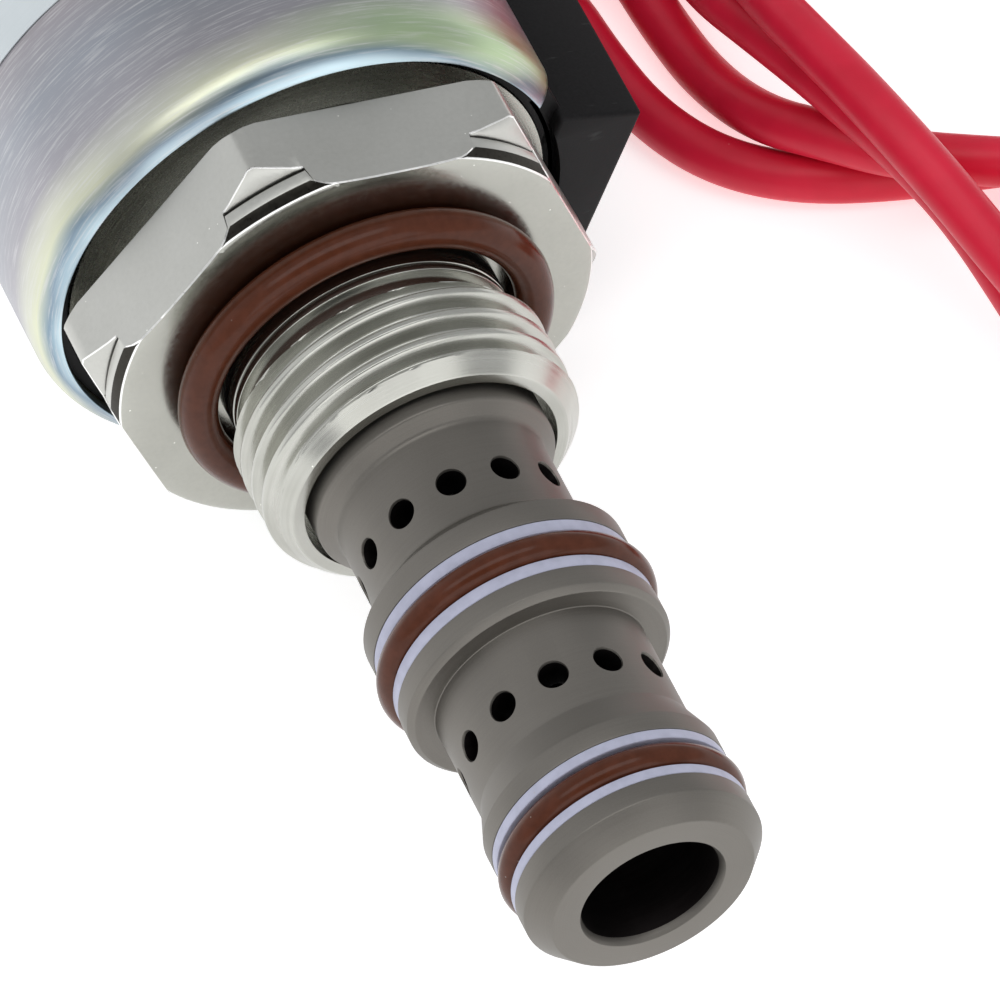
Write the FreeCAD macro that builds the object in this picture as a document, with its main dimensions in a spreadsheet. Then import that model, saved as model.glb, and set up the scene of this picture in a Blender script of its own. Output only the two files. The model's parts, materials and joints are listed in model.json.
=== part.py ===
import FreeCAD, Part
import math
import os
import re
import Sketcher

# Solenoid cartridge valve, lying on its side on a flat surface.
# Its axis runs along +Y, with the nose at -Y and the coil at +Y. The surface is z = 0.
# A station is the distance along the axis from the nose face, in millimetres.

SIZES = {
    # The whole valve
    "overall_length": 94.0,
    "lying_shift": -2.0,
    "block_turn": 26.4,
    "fine_gap": 0.02,
    # Cage
    "cage_bore_radius": 4.1,
    "cage_mouth_radius": 4.33,
    "cage_mouth_depth": 0.45,
    "nose_face_radius": 6.0,
    "nose_land_start": 1.34,
    "nose_land_radius": 7.09,
    "nose_land_end": 7.0,
    "nose_groove_start": 2.6,
    "nose_groove_end": 5.8,
    "nose_groove_radius": 5.54,
    "waist_radius": 6.37,
    "nose_waist_start": 9.0,
    "middle_shoulder": 15.4,
    "middle_edge": 0.35,
    "middle_land_radius": 7.92,
    "middle_land_end": 22.0,
    "middle_groove_start": 17.05,
    "middle_groove_end": 20.5,
    "middle_groove_radius": 6.6,
    "rear_waist_start": 23.2,
    "flare_start": 29.5,
    "flare_end": 30.25,
    "flare_radius": 7.25,
    "cage_shoulder": 33.4,
    "cage_neck_radius": 6.7,
    "cage_end": 36.5,
    "port_hole_radius": 0.85,
    "port_hole_count": 12,
    "port_hole_turn": -2.3,
    "nose_port_station": 11.54,
    "rear_port_station": 25.82,
    # Seals on the cage
    "small_cord": 0.89,
    "nose_ring_station": 4.17,
    "nose_ring_radius": 6.45,
    "middle_ring_station": 18.79,
    "middle_ring_radius": 7.52,
    "nose_backup_width": 0.66,
    "middle_backup_width": 0.82,
    "backup_lap": 0.06,
    # Threaded adapter
    "adapter_face": 31.0,
    "adapter_bore_radius": 7.67,
    "adapter_face_radius": 8.35,
    "thread_radius": 9.525,
    "thread_root_radius": 8.62,
    "thread_start": 31.75,
    "thread_end": 37.35,
    "thread_pitch": 1.5875,
    "undercut_radius": 8.2,
    "undercut_start": 38.1,
    "neck_start": 38.95,
    "neck_radius": 8.55,
    "hex_start": 41.63,
    "hex_end": 47.23,
    "hex_flats": 27.96,
    "hex_turn": -12.7,
    "washer_face_radius": 14.53,
    "corner_step_radius": 14.77,
    "corner_step_station": 43.34,
    "rear_corner_radius": 15.5,
    "rear_corner_start": 46.5,
    "collar_radius": 11.5,
    "collar_end": 49.2,
    "link_bore_radius": 1.8,
    "tube_seat": 43.2,
    "hex_ring_station": 40.44,
    "hex_ring_radius": 10.3,
    "hex_ring_cord": 1.15,
    # Guide tube, armature and spool
    "tube_radius": 6.25,
    "tube_inner_radius": 5.65,
    "tube_end": 84.8,
    "armature_radius": 5.59,
    "stroke": 2.4,
    "pole_face": 72.2,
    "shim_thickness": 0.2,
    "shim_radius": 5.0,
    "spring_pocket_radius": 2.7,
    "armature_pocket_start": 63.0,
    "pole_pocket_end": 77.0,
    "spring_radius": 2.1,
    "spring_wire_radius": 0.3,
    "spring_turns": 7.0,
    "pole_neck_radius": 5.6,
    "link_radius": 1.2,
    "link_start": 31.5,
    "link_end": 49.0,
    "spool_radius": 4.07,
    "spool_start": 6.0,
    "spool_end": 33.8,
    "spool_neck_radius": 3.3,
    "spool_hollow_radius": 2.1,
    "nose_spool_land_end": 9.5,
    "control_land_start": 23.75,
    "control_land_end": 25.65,
    "rear_spool_land_start": 28.6,
    "spool_hollow_end": 27.9,
    "cross_hole_radius": 0.8,
    "cross_hole_station": 27.05,
    "link_socket_radius": 1.35,
    "link_socket_start": 30.5,
    # Coil
    "can_radius": 16.7,
    "can_inner_radius": 15.38,
    "can_start": 48.48,
    "can_edge_round": 2.6,
    "can_end": 86.2,
    "can_rear_wall": 1.0,
    "slot_half_angle": 43.4,
    "slot_end": 80.0,
    "coil_bore_radius": 6.35,
    "front_washer_end": 51.2,
    "washer_radius": 14.6,
    "rear_washer_start": 83.0,
    "bobbin_wall_radius": 7.3,
    "bobbin_flange_radius": 12.3,
    "bobbin_flange": 1.2,
    "winding_radius": 12.1,
    "moulding_inner_radius": 12.45,
    "moulding_radius": 15.33,
    "moulding_start": 49.35,
    "slot_fill_radius": 16.35,
    "block_start": 48.5,
    "block_end": 79.6,
    "block_face": 18.4,
    "block_half_width": 9.5,
    "block_root": 13.0,
    "crimp_radius": 1.1,
    "crimp_start": 12.7,
    "crimp_end": 17.2,
    "label_start": 61.0,
    "label_end": 81.0,
    "label_thickness": 0.1,
    "label_angle": 120.0,
    "label_turn": -142.0,
    # Coil nut
    "nut_flats": 19.05,
    "nut_end": 92.6,
    "nut_flange_radius": 10.2,
    "nut_flange": 1.3,
    "nut_bore_radius": 6.3,
    "nut_recess_radius": 8.7,
    "nut_recess": 1.5,
    "nut_ring_radius": 7.5,
    "nut_ring_cord": 0.72,
    # Lead wires
    "lead_radius": 1.5,
    "lead_core_radius": 0.8,
    "lead_core_length": 7.0,
    "lead_exit_station": 75.0,
    "lower_lead_offset": -5.0,
    "upper_lead_offset": 1.5,
    "store_x": 44.0,
    "store_y": 39.0,
    "store_inner_radius": 8.3,
    "store_outer_radius": 21.9,
    "store_height": 6.2,
    "stored_end_back": 3.5,
    "stored_end_aside": 4.6,
    "tie_width": 3.0,
    "tie_thickness": 0.5,
}

HALF_CORNER = 1.0 / math.sqrt(3.0)
CLEAR = 30.0
SIDEWAYS = FreeCAD.Rotation(FreeCAD.Vector(1, 0, 0), -90)

# Where each lead wire lies, as x, y, z from its exit to the stored turns.
LOWER_LEAD_ROUTE = [
    (12.26, 28.0, 4.04), (16.0, 28.0, 2.2), (19.2, 26.0, 1.5), (20.8, 22.5, 1.5),
    (21.1, 17.5, 1.5), (22.1, 12.3, 1.5), (24.2, 7.4, 1.5), (28.0, 3.7, 1.5),
    (33.4, 1.0, 1.5), (39.7, -0.9, 1.5), (47.1, -3.6, 1.5), (53.3, -9.7, 1.5),
    (53.9, -17.9, 1.5), (48.0, -24.1, 1.5), (40.0, -23.7, 1.5), (34.2, -18.1, 1.7),
    (33.9, -11.0, 3.1), (32.9, -5.4, 5.1), (31.4, -1.0, 7.4), (30.5, 4.0, 7.7),
    (30.0, 9.4, 5.0), (29.5, 14.6, 2.5), (28.7, 19.0, 1.6), (28.0, 23.5, 1.5),
    (27.2, 28.2, 1.5),
]
UPPER_LEAD_ROUTE = [
    (15.15, 28.0, 9.86), (19.2, 28.0, 7.85), (23.0, 26.4, 5.0), (25.2, 22.9, 2.5),
    (25.6, 17.9, 1.6), (26.3, 12.9, 1.7), (27.9, 8.3, 2.3), (30.4, 4.4, 4.1),
    (33.5, 1.1, 4.9), (38.1, -1.8, 4.9), (43.8, -4.9, 3.6), (48.6, -9.2, 1.9),
    (49.4, -15.2, 1.6), (44.8, -19.8, 1.7), (39.1, -18.3, 2.6), (36.4, -12.7, 4.9),
    (35.0, -7.0, 7.8), (34.2, -1.4, 8.8), (34.0, 3.4, 7.7), (34.0, 9.0, 4.5),
    (33.3, 13.7, 2.2), (32.3, 17.6, 1.8), (31.3, 21.7, 2.6), (30.0, 25.5, 3.9),
]
# The stripped ends lie inside the stored turns, one on each side of their centre.
STORED_ENDS = {"lower_lead_end": 1, "upper_lead_end": -1}
TIE_ANGLE = -50.0

doc = FreeCAD.newDocument("cartridge_valve")
sheet = doc.addObject("Spreadsheet::Sheet", "Sizes")
for row, (alias, number) in enumerate(SIZES.items(), start=1):
    sheet.set(f"A{row}", alias)
    sheet.set(f"B{row}", str(number))
    sheet.setAlias(f"B{row}", alias)
doc.recompute()


def value(formula):
    """The number that a formula of the sheet's aliases gives."""
    return float(sheet.evalExpression(str(formula)))


def linked(formula):
    """The same formula as an expression of any object of the document."""
    return re.sub(r"[a-z][a-z_]+", r"Sizes.\g<0>", str(formula))


def place(node, turn="0", rotation=None):
    """Puts a node made about its own axis on the valve's axis, turned about it."""
    base = FreeCAD.Vector(value("lying_shift"), -value("overall_length / 2"), value("can_radius"))
    if rotation is None:
        rotation = FreeCAD.Rotation(FreeCAD.Vector(0, 1, 0), value(turn) or 360.0)
        node.Placement = FreeCAD.Placement(base, rotation)
        if value(turn):
            node.setExpression("Placement.Rotation.Angle", linked(turn))
    else:
        node.Placement = FreeCAD.Placement(base, rotation)
    node.setExpression("Placement.Base.x", linked("lying_shift"))
    node.setExpression("Placement.Base.z", linked("can_radius"))


def new_body(name, turn="0"):
    """A body whose own Y axis is the valve's axis, with the nose face at its origin."""
    body = doc.addObject("PartDesign::Body", name)
    body.Label = name
    place(body, turn)
    body.setExpression("Placement.Base.y", linked("-overall_length / 2"))
    return body


def origin_plane(body, role):
    return next(item for item in body.Origin.OriginFeatures if item.Role == role)


def fix_point(sketch, element, end, across, along):
    """Holds one end of a line at a place that the sheet gives."""
    for kind, formula, axis in (("DistanceX", across, -2), ("DistanceY", along, -1)):
        distance = value(formula)
        if abs(distance) < 1e-9:
            sketch.addConstraint(Sketcher.Constraint("PointOnObject", element, end, axis))
            continue
        index = sketch.addConstraint(Sketcher.Constraint(kind, -1, 1, element, end, distance))
        sketch.setExpression(f"Constraints[{index}]", linked(formula))


def bulged(start, end, radius):
    """An arc from start to end of the given radius, bulging to the right of the way it runs."""
    chord = end - start
    side = FreeCAD.Vector(chord.y, -chord.x, 0).normalize()
    middle = (start + end) * 0.5
    rise = radius - math.sqrt(radius**2 - (chord.Length / 2) ** 2)
    return Part.Arc(start, middle + side * rise, end)


def draw(body, name, corners, plane="XY_Plane", bulges=None):
    """A closed outline through corners. bulges gives the radius of the side after a corner."""
    bulges = bulges or {}
    sketch = body.newObject("Sketcher::SketchObject", name)
    sketch.AttachmentSupport = (origin_plane(body, plane), [""])
    sketch.MapMode = "FlatFace"
    points = [FreeCAD.Vector(value(across), value(along), 0) for across, along in corners]
    sides = []
    for index, start in enumerate(points):
        end = points[(index + 1) % len(points)]
        if index in bulges:
            sides.append(sketch.addGeometry(bulged(start, end, value(bulges[index]))))
        else:
            sides.append(sketch.addGeometry(Part.LineSegment(start, end)))
    ends = {}
    for index, side in enumerate(sides):
        following = (index + 1) % len(sides)
        start_is_first = sketch.getPoint(side, 1).isEqual(points[index], 1e-6)
        ends[index] = (1, 2) if start_is_first else (2, 1)
        next_first = sketch.getPoint(sides[following], 1).isEqual(points[following], 1e-6)
        next_start = 1 if next_first else 2
        sketch.addConstraint(
            Sketcher.Constraint("Coincident", side, ends[index][1], sides[following], next_start)
        )
    for index, side in enumerate(sides):
        fix_point(sketch, side, ends[index][0], *corners[index])
        if index in bulges:
            radius = Sketcher.Constraint("Radius", side, value(bulges[index]))
            held = sketch.addConstraint(radius)
            sketch.setExpression(f"Constraints[{held}]", linked(bulges[index]))
    return sketch


def turned(body, kind, name, corners, bulges=None, angle=None):
    """A revolution or groove about the body's axis. Corners are radius and station."""
    sketch = draw(body, f"{name}_outline", corners, bulges=bulges)
    feature = body.newObject(f"PartDesign::{kind}", name)
    feature.Profile = (sketch, [""])
    feature.ReferenceAxis = (sketch, ["V_Axis"])
    feature.Angle = 360.0
    if angle:
        feature.Midplane = True
        feature.setExpression("Angle", linked(angle))
    sketch.Visibility = False
    return feature


def ring_outline(inner, outer, start, end):
    return [(inner, start), (outer, start), (outer, end), (inner, end)]


def across_axis(body, name, corners, start):
    """An outline square to the axis at a station. Corners are along the body's X and Z."""
    sketch = draw(body, f"{name}_outline", corners, plane="XZ_Plane")
    sketch.setExpression(".AttachmentOffset.Base.z", linked(f"-({start})"))
    return sketch


def padded(body, name, corners, start, end):
    """A prism along the axis between two stations."""
    feature = body.newObject("PartDesign::Pad", name)
    feature.Profile = (across_axis(body, name, corners, start), [""])
    feature.Reversed = True
    feature.setExpression("Length", linked(f"({end}) - ({start})"))
    return feature


def pocketed(body, name, corners, start, end):
    """A prism along the axis between two stations, cut away."""
    feature = body.newObject("PartDesign::Pocket", name)
    feature.Profile = (across_axis(body, name, corners, start), [""])
    feature.Reversed = False
    feature.setExpression("Length", linked(f"({end}) - ({start})"))
    return feature


def hexagon(flats):
    """The corners of a hexagon with this width across its flats."""
    corners = []
    for step in range(6):
        angle = math.radians(30 + 60 * step)
        across = round(HALF_CORNER * math.cos(angle), 9)
        along = round(HALF_CORNER * math.sin(angle), 9)
        corners.append((f"{flats} * ({across:.9f})", f"{flats} * ({along:.9f})"))
    return corners


def radial_holes(body, name, radius, station, count):
    """A row of holes drilled towards the axis, evenly spaced around it."""
    sketch = body.newObject("Sketcher::SketchObject", f"{name}_outline")
    sketch.AttachmentSupport = (origin_plane(body, "XY_Plane"), [""])
    sketch.MapMode = "FlatFace"
    centre = FreeCAD.Vector(0, value(station), 0)
    circle = sketch.addGeometry(Part.Circle(centre, FreeCAD.Vector(0, 0, 1), value(radius)))
    fix_point(sketch, circle, 3, "0", station)
    held = sketch.addConstraint(Sketcher.Constraint("Radius", circle, value(radius)))
    sketch.setExpression(f"Constraints[{held}]", linked(radius))
    pocket = body.newObject("PartDesign::Pocket", name)
    pocket.Profile = (sketch, [""])
    pocket.Reversed = True
    pocket.Length = CLEAR
    pattern = body.newObject("PartDesign::PolarPattern", f"{name}_row")
    pattern.Originals = [pocket]
    pattern.Axis = (origin_plane(body, "Y_Axis"), [""])
    pattern.Angle = 360.0
    pattern.Occurrences = int(value(count))
    if count in SIZES:
        pattern.setExpression("Occurrences", linked(count))
    body.Tip = pattern
    return pattern


def turned_piece(name, corners, turn="0", bulges=None):
    body = new_body(name, turn)
    turned(body, "Revolution", "blank", corners, bulges)
    return body


def o_ring(name, radius, cord, station):
    ring = doc.addObject("Part::Torus", name)
    ring.Label = name
    ring.setExpression("Radius1", linked(radius))
    ring.setExpression("Radius2", linked(cord))
    place(ring, rotation=SIDEWAYS)
    ring.setExpression("Placement.Base.y", linked(f"{station} - overall_length / 2"))
    return ring


# Cage: the ported sleeve, from the nose face to the neck that the adapter holds.
def make_cage():
    body = new_body("cage", "port_hole_turn")
    turned(body, "Revolution", "blank", [
        ("cage_bore_radius", "cage_mouth_depth"),
        ("cage_mouth_radius", "0"),
        ("nose_face_radius", "0"),
        ("nose_land_radius", "nose_land_start"),
        ("nose_land_radius", "nose_groove_start"),
        ("nose_groove_radius", "nose_groove_start"),
        ("nose_groove_radius", "nose_groove_end"),
        ("nose_land_radius", "nose_groove_end"),
        ("nose_land_radius", "nose_land_end"),
        ("waist_radius", "nose_waist_start"),
        ("waist_radius", "middle_shoulder"),
        ("middle_land_radius - middle_edge", "middle_shoulder"),
        ("middle_land_radius", "middle_shoulder + middle_edge"),
        ("middle_land_radius", "middle_groove_start"),
        ("middle_groove_radius", "middle_groove_start"),
        ("middle_groove_radius", "middle_groove_end"),
        ("middle_land_radius", "middle_groove_end"),
        ("middle_land_radius", "middle_land_end"),
        ("waist_radius", "rear_waist_start"),
        ("waist_radius", "flare_start"),
        ("flare_radius", "flare_end"),
        ("flare_radius", "cage_shoulder"),
        ("cage_neck_radius", "cage_shoulder"),
        ("cage_neck_radius", "cage_end"),
        ("cage_bore_radius", "cage_end"),
    ])
    for name, station in (("nose_ports", "nose_port_station"), ("rear_ports", "rear_port_station")):
        radial_holes(body, name, "port_hole_radius", station, "port_hole_count")


# Seals: an O-ring between two flat backup rings in each groove of the cage.
def make_cage_seals():
    for place_name in ("nose", "middle"):
        o_ring(
            f"{place_name}_o_ring",
            f"{place_name}_ring_radius",
            "small_cord",
            f"{place_name}_ring_station",
        )
        width = f"{place_name}_backup_width"
        inner = f"{place_name}_groove_radius + backup_lap"
        outer = f"{place_name}_land_radius - backup_lap"
        front = f"{place_name}_groove_start"
        rear = f"{place_name}_groove_end"
        turned_piece(
            f"{place_name}_backup_front",
            ring_outline(inner, outer, front, f"{front} + {width}"),
        )
        turned_piece(
            f"{place_name}_backup_rear",
            ring_outline(inner, outer, f"{rear} - {width}", rear),
        )


# Adapter: the threaded, hexagonal body. The thread is rings of its true depth and pitch.
def make_adapter():
    body = new_body("hex_adapter", "hex_turn")
    padded(body, "hex", hexagon("hex_flats"), "hex_start", "hex_end")
    turned(body, "Groove", "front_corners", [
        ("washer_face_radius", "hex_start - 1"),
        ("washer_face_radius", "hex_start"),
        ("corner_step_radius", "hex_start + 0.7"),
        ("corner_step_radius", "corner_step_station"),
        ("hex_flats * 0.58", "corner_step_station + 0.9"),
        ("hex_flats * 0.58 + 2", "hex_start - 1"),
    ])
    turned(body, "Groove", "rear_corners", [
        ("hex_flats * 0.58", "rear_corner_start"),
        ("rear_corner_radius", "hex_end"),
        ("rear_corner_radius", "hex_end + 1"),
        ("hex_flats * 0.58 + 2", "hex_end + 1"),
        ("hex_flats * 0.58 + 2", "rear_corner_start"),
    ])
    thread = []
    for turn in range(3):
        crest = f"thread_start + {turn} * thread_pitch"
        thread += [
            ("thread_radius", f"{crest} + 0.25 * thread_pitch"),
            ("thread_radius", f"{crest} + 0.5 * thread_pitch"),
            ("thread_root_radius", f"{crest} + 0.85 * thread_pitch"),
            ("thread_root_radius", f"{crest} + 0.95 * thread_pitch"),
        ]
    turned(body, "Revolution", "stem", [
        ("adapter_bore_radius", "adapter_face"),
        ("adapter_face_radius", "adapter_face"),
        *thread,
        ("thread_radius", "thread_end - 0.4 * thread_pitch"),
        ("thread_radius", "thread_end - 0.1"),
        ("undercut_radius", "undercut_start"),
        ("undercut_radius", "neck_start"),
        ("neck_radius", "neck_start"),
        ("neck_radius", "hex_start + 1"),
        ("collar_radius", "hex_end - 1"),
        ("collar_radius", "collar_end"),
        ("tube_radius + fine_gap", "collar_end"),
        ("tube_radius + fine_gap", "tube_seat"),
        ("link_bore_radius", "tube_seat"),
        ("link_bore_radius", "cage_end + 0.2"),
        ("cage_neck_radius + fine_gap", "cage_end + 0.2"),
        ("cage_neck_radius + fine_gap", "cage_shoulder"),
        ("adapter_bore_radius", "cage_shoulder"),
    ])
    turned(body, "Groove", "hex_bore", [
        ("0", "hex_start - 1"),
        ("link_bore_radius", "hex_start - 1"),
        ("link_bore_radius", "tube_seat"),
        ("tube_radius + fine_gap", "tube_seat"),
        ("tube_radius + fine_gap", "hex_end + 1"),
        ("0", "hex_end + 1"),
    ])
    o_ring("hex_o_ring", "hex_ring_radius", "hex_ring_cord", "hex_ring_station")


# Guide tube and what it holds: armature, shim, return spring and pole piece.
def make_guide_tube():
    turned_piece(
        "guide_tube",
        ring_outline("tube_inner_radius", "tube_radius", "tube_seat", "tube_end"),
    )


def make_armature():
    end = "pole_face - shim_thickness - stroke - fine_gap"
    turned_piece("armature", [
        ("0", "link_end"),
        ("link_radius", "link_end"),
        ("link_radius", "tube_seat + fine_gap"),
        ("armature_radius - 0.4", "tube_seat + fine_gap"),
        ("armature_radius", "tube_seat + fine_gap + 0.4"),
        ("armature_radius", f"{end} - 0.3"),
        ("armature_radius - 0.3", end),
        ("spring_pocket_radius", end),
        ("spring_pocket_radius", "armature_pocket_start"),
        ("0", "armature_pocket_start"),
    ])


def make_pole_piece():
    turned_piece("pole_piece", [
        ("0", "pole_pocket_end"),
        ("spring_pocket_radius", "pole_pocket_end"),
        ("spring_pocket_radius", "pole_face"),
        ("pole_neck_radius", "pole_face"),
        ("pole_neck_radius", "tube_end"),
        ("tube_radius", "tube_end"),
        ("tube_radius", "overall_length - 0.6"),
        ("tube_radius - 0.6", "overall_length"),
        ("0", "overall_length"),
    ])
    turned_piece(
        "residual_shim",
        ring_outline(
            "spring_pocket_radius + 0.1",
            "shim_radius",
            "pole_face - shim_thickness",
            "pole_face",
        ),
    )


def make_return_spring():
    body = new_body("return_spring")
    sketch = body.newObject("Sketcher::SketchObject", "wire_outline")
    sketch.AttachmentSupport = (origin_plane(body, "XY_Plane"), [""])
    sketch.MapMode = "FlatFace"
    wire = value("spring_wire_radius")
    centre = FreeCAD.Vector(value("spring_radius"), value("armature_pocket_start") + wire, 0)
    circle = sketch.addGeometry(Part.Circle(centre, FreeCAD.Vector(0, 0, 1), wire))
    fix_point(sketch, circle, 3, "spring_radius", "armature_pocket_start + spring_wire_radius")
    held = sketch.addConstraint(Sketcher.Constraint("Radius", circle, wire))
    sketch.setExpression(f"Constraints[{held}]", linked("spring_wire_radius"))
    helix = body.newObject("PartDesign::AdditiveHelix", "coils")
    helix.Profile = (sketch, [""])
    helix.ReferenceAxis = (sketch, ["V_Axis"])
    helix.Mode = "height-turns-angle"
    rise = "pole_pocket_end - armature_pocket_start - 2 * spring_wire_radius"
    helix.setExpression("Height", linked(rise))
    helix.setExpression("Turns", linked("spring_turns"))


def make_spool():
    body = new_body("spool")
    turned(body, "Revolution", "blank", [
        ("spool_hollow_radius", "spool_start"),
        ("spool_radius", "spool_start"),
        ("spool_radius", "nose_spool_land_end"),
        ("spool_neck_radius", "nose_spool_land_end + 0.4"),
        ("spool_neck_radius", "control_land_start - 0.4"),
        ("spool_radius", "control_land_start"),
        ("spool_radius", "control_land_end"),
        ("spool_neck_radius", "control_land_end + 0.4"),
        ("spool_neck_radius", "rear_spool_land_start - 0.4"),
        ("spool_radius", "rear_spool_land_start"),
        ("spool_radius", "spool_end"),
        ("link_socket_radius", "spool_end"),
        ("link_socket_radius", "link_socket_start"),
        ("0", "link_socket_start"),
        ("0", "spool_hollow_end"),
        ("spool_hollow_radius", "spool_hollow_end"),
    ])
    radial_holes(body, "cross_holes", "cross_hole_radius", "cross_hole_station", "4")
    turned_piece("push_link", [
        ("0", "link_start"),
        ("link_radius", "link_start"),
        ("link_radius", "link_end"),
        ("0", "link_end"),
    ])


# Coil: can, flux washers, bobbin, winding and the moulding with the lead block.
def make_can():
    body = new_body("coil_can", "block_turn")
    turned(body, "Revolution", "blank", [
        ("can_inner_radius", "can_start"),
        ("can_radius", "can_start + 2.245"),
        ("can_radius", "can_end - 1.2"),
        ("can_radius - 1.2", "can_end"),
        ("coil_bore_radius", "can_end"),
        ("coil_bore_radius", "can_end - can_rear_wall"),
        ("can_inner_radius", "can_end - can_rear_wall"),
    ], bulges={0: "can_edge_round", 2: "1.2"})
    across = round(math.cos(math.radians(value("slot_half_angle"))), 9)
    along = round(math.sin(math.radians(value("slot_half_angle"))), 9)
    pocketed(body, "lead_slot", [
        ("0", "0"),
        (f"can_radius * {1.6 * across:.9f}", f"can_radius * ({-1.6 * along:.9f})"),
        ("can_radius * 3", "0"),
        (f"can_radius * {1.6 * across:.9f}", f"can_radius * {1.6 * along:.9f}"),
    ], "can_start - 1", "slot_end")


def make_flux_washers():
    for name, start, end in (
        ("front_flux_washer", "collar_end", "front_washer_end"),
        ("rear_flux_washer", "rear_washer_start", "can_end - can_rear_wall"),
    ):
        turned_piece(name, ring_outline("coil_bore_radius", "washer_radius", start, end))


def make_bobbin():
    front = "front_washer_end"
    rear = "rear_washer_start"
    turned_piece("bobbin", [
        ("coil_bore_radius", front),
        ("bobbin_flange_radius", front),
        ("bobbin_flange_radius", f"{front} + bobbin_flange"),
        ("bobbin_wall_radius", f"{front} + bobbin_flange"),
        ("bobbin_wall_radius", f"{rear} - bobbin_flange"),
        ("bobbin_flange_radius", f"{rear} - bobbin_flange"),
        ("bobbin_flange_radius", rear),
        ("coil_bore_radius", rear),
    ])
    turned_piece(
        "winding",
        ring_outline(
            "bobbin_wall_radius + fine_gap",
            "winding_radius",
            f"{front} + bobbin_flange",
            f"{rear} - bobbin_flange",
        ),
    )


def make_moulding():
    body = new_body("coil_moulding", "block_turn")
    turned(body, "Revolution", "blank", [
        ("washer_radius + 0.05", "moulding_start"),
        ("moulding_radius", "moulding_start"),
        ("moulding_radius", "can_end - can_rear_wall"),
        ("washer_radius + 0.05", "can_end - can_rear_wall"),
        ("washer_radius + 0.05", "rear_washer_start"),
        ("moulding_inner_radius", "rear_washer_start"),
        ("moulding_inner_radius", "front_washer_end"),
        ("washer_radius + 0.05", "front_washer_end"),
    ])
    turned(
        body,
        "Revolution",
        "slot_fill",
        ring_outline("moulding_radius - 0.3", "slot_fill_radius", "moulding_start", "block_end"),
        angle="2 * slot_half_angle - 1",
    )
    padded(body, "lead_block", [
        ("block_root", "-block_half_width"),
        ("block_face", "-block_half_width"),
        ("block_face", "block_half_width"),
        ("block_root", "block_half_width"),
    ], "block_start", "block_end")
    turned(
        body,
        "Groove",
        "mouth",
        [
            ("0", "block_start - 1"),
            ("can_inner_radius", "block_start - 1"),
            ("can_inner_radius", "moulding_start"),
            ("washer_radius + 0.05", "moulding_start"),
            ("washer_radius + 0.05", "front_washer_end"),
            ("0", "front_washer_end"),
        ],
    )
    sketch = body.newObject("Sketcher::SketchObject", "crimp_outline")
    sketch.AttachmentSupport = (origin_plane(body, "YZ_Plane"), [""])
    sketch.MapMode = "FlatFace"
    for offset in ("lower_lead_offset", "upper_lead_offset"):
        centre = FreeCAD.Vector(value("lead_exit_station"), value(offset), 0)
        radius = value("crimp_radius")
        circle = sketch.addGeometry(Part.Circle(centre, FreeCAD.Vector(0, 0, 1), radius))
        fix_point(sketch, circle, 3, "lead_exit_station", offset)
        held = sketch.addConstraint(Sketcher.Constraint("Radius", circle, radius))
        sketch.setExpression(f"Constraints[{held}]", linked("crimp_radius"))
    pockets = body.newObject("PartDesign::Pocket", "crimp_pockets")
    pockets.Profile = (sketch, [""])
    pockets.Reversed = True
    pockets.setExpression("Length", linked("crimp_end"))


def make_crimps():
    """Two sleeves inside the block, each joining a lead to the winding."""
    parts = []
    for offset in ("lower_lead_offset", "upper_lead_offset"):
        start = FreeCAD.Vector(value("crimp_start"), value("lead_exit_station"), value(offset))
        length = value("crimp_end - crimp_start")
        parts.append(
            Part.makeCylinder(value("crimp_radius - fine_gap"), length, start, FreeCAD.Vector(1, 0, 0))
        )
    crimps = doc.addObject("Part::Feature", "lead_crimps")
    crimps.Label = "lead_crimps"
    crimps.Shape = Part.makeCompound(parts)
    place(crimps, "block_turn")
    crimps.setExpression("Placement.Base.y", linked("-overall_length / 2"))


def make_label():
    body = new_body("coil_label", "label_turn")
    turned(
        body,
        "Revolution",
        "blank",
        ring_outline(
            "can_radius + fine_gap",
            "can_radius + fine_gap + label_thickness",
            "label_start",
            "label_end",
        ),
        angle="label_angle",
    )


def make_coil_nut():
    body = new_body("coil_nut")
    padded(body, "hex", hexagon("nut_flats"), "can_end + nut_flange", "nut_end")
    turned(body, "Groove", "rear_corners", [
        ("nut_flats / 2", "nut_end + 0.3"),
        ("nut_flats * 0.58 + 1", "nut_end + 0.3"),
        ("nut_flats * 0.58 + 1", "nut_end - 1"),
    ])
    turned(body, "Revolution", "flange", [
        ("nut_bore_radius", "can_end + nut_recess"),
        ("nut_recess_radius", "can_end + nut_recess"),
        ("nut_recess_radius", "can_end"),
        ("nut_flange_radius", "can_end"),
        ("nut_flange_radius", "can_end + nut_flange"),
        ("nut_bore_radius", "can_end + nut_flange + 1"),
    ])
    turned(body, "Groove", "bore", [
        ("0", "can_end - 1"),
        ("nut_recess_radius", "can_end - 1"),
        ("nut_recess_radius", "can_end + nut_recess"),
        ("nut_bore_radius", "can_end + nut_recess"),
        ("nut_bore_radius", "nut_end + 1"),
        ("0", "nut_end + 1"),
    ])
    o_ring("nut_o_ring", "nut_ring_radius", "nut_ring_cord", "can_end + nut_ring_cord + 0.03")


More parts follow.
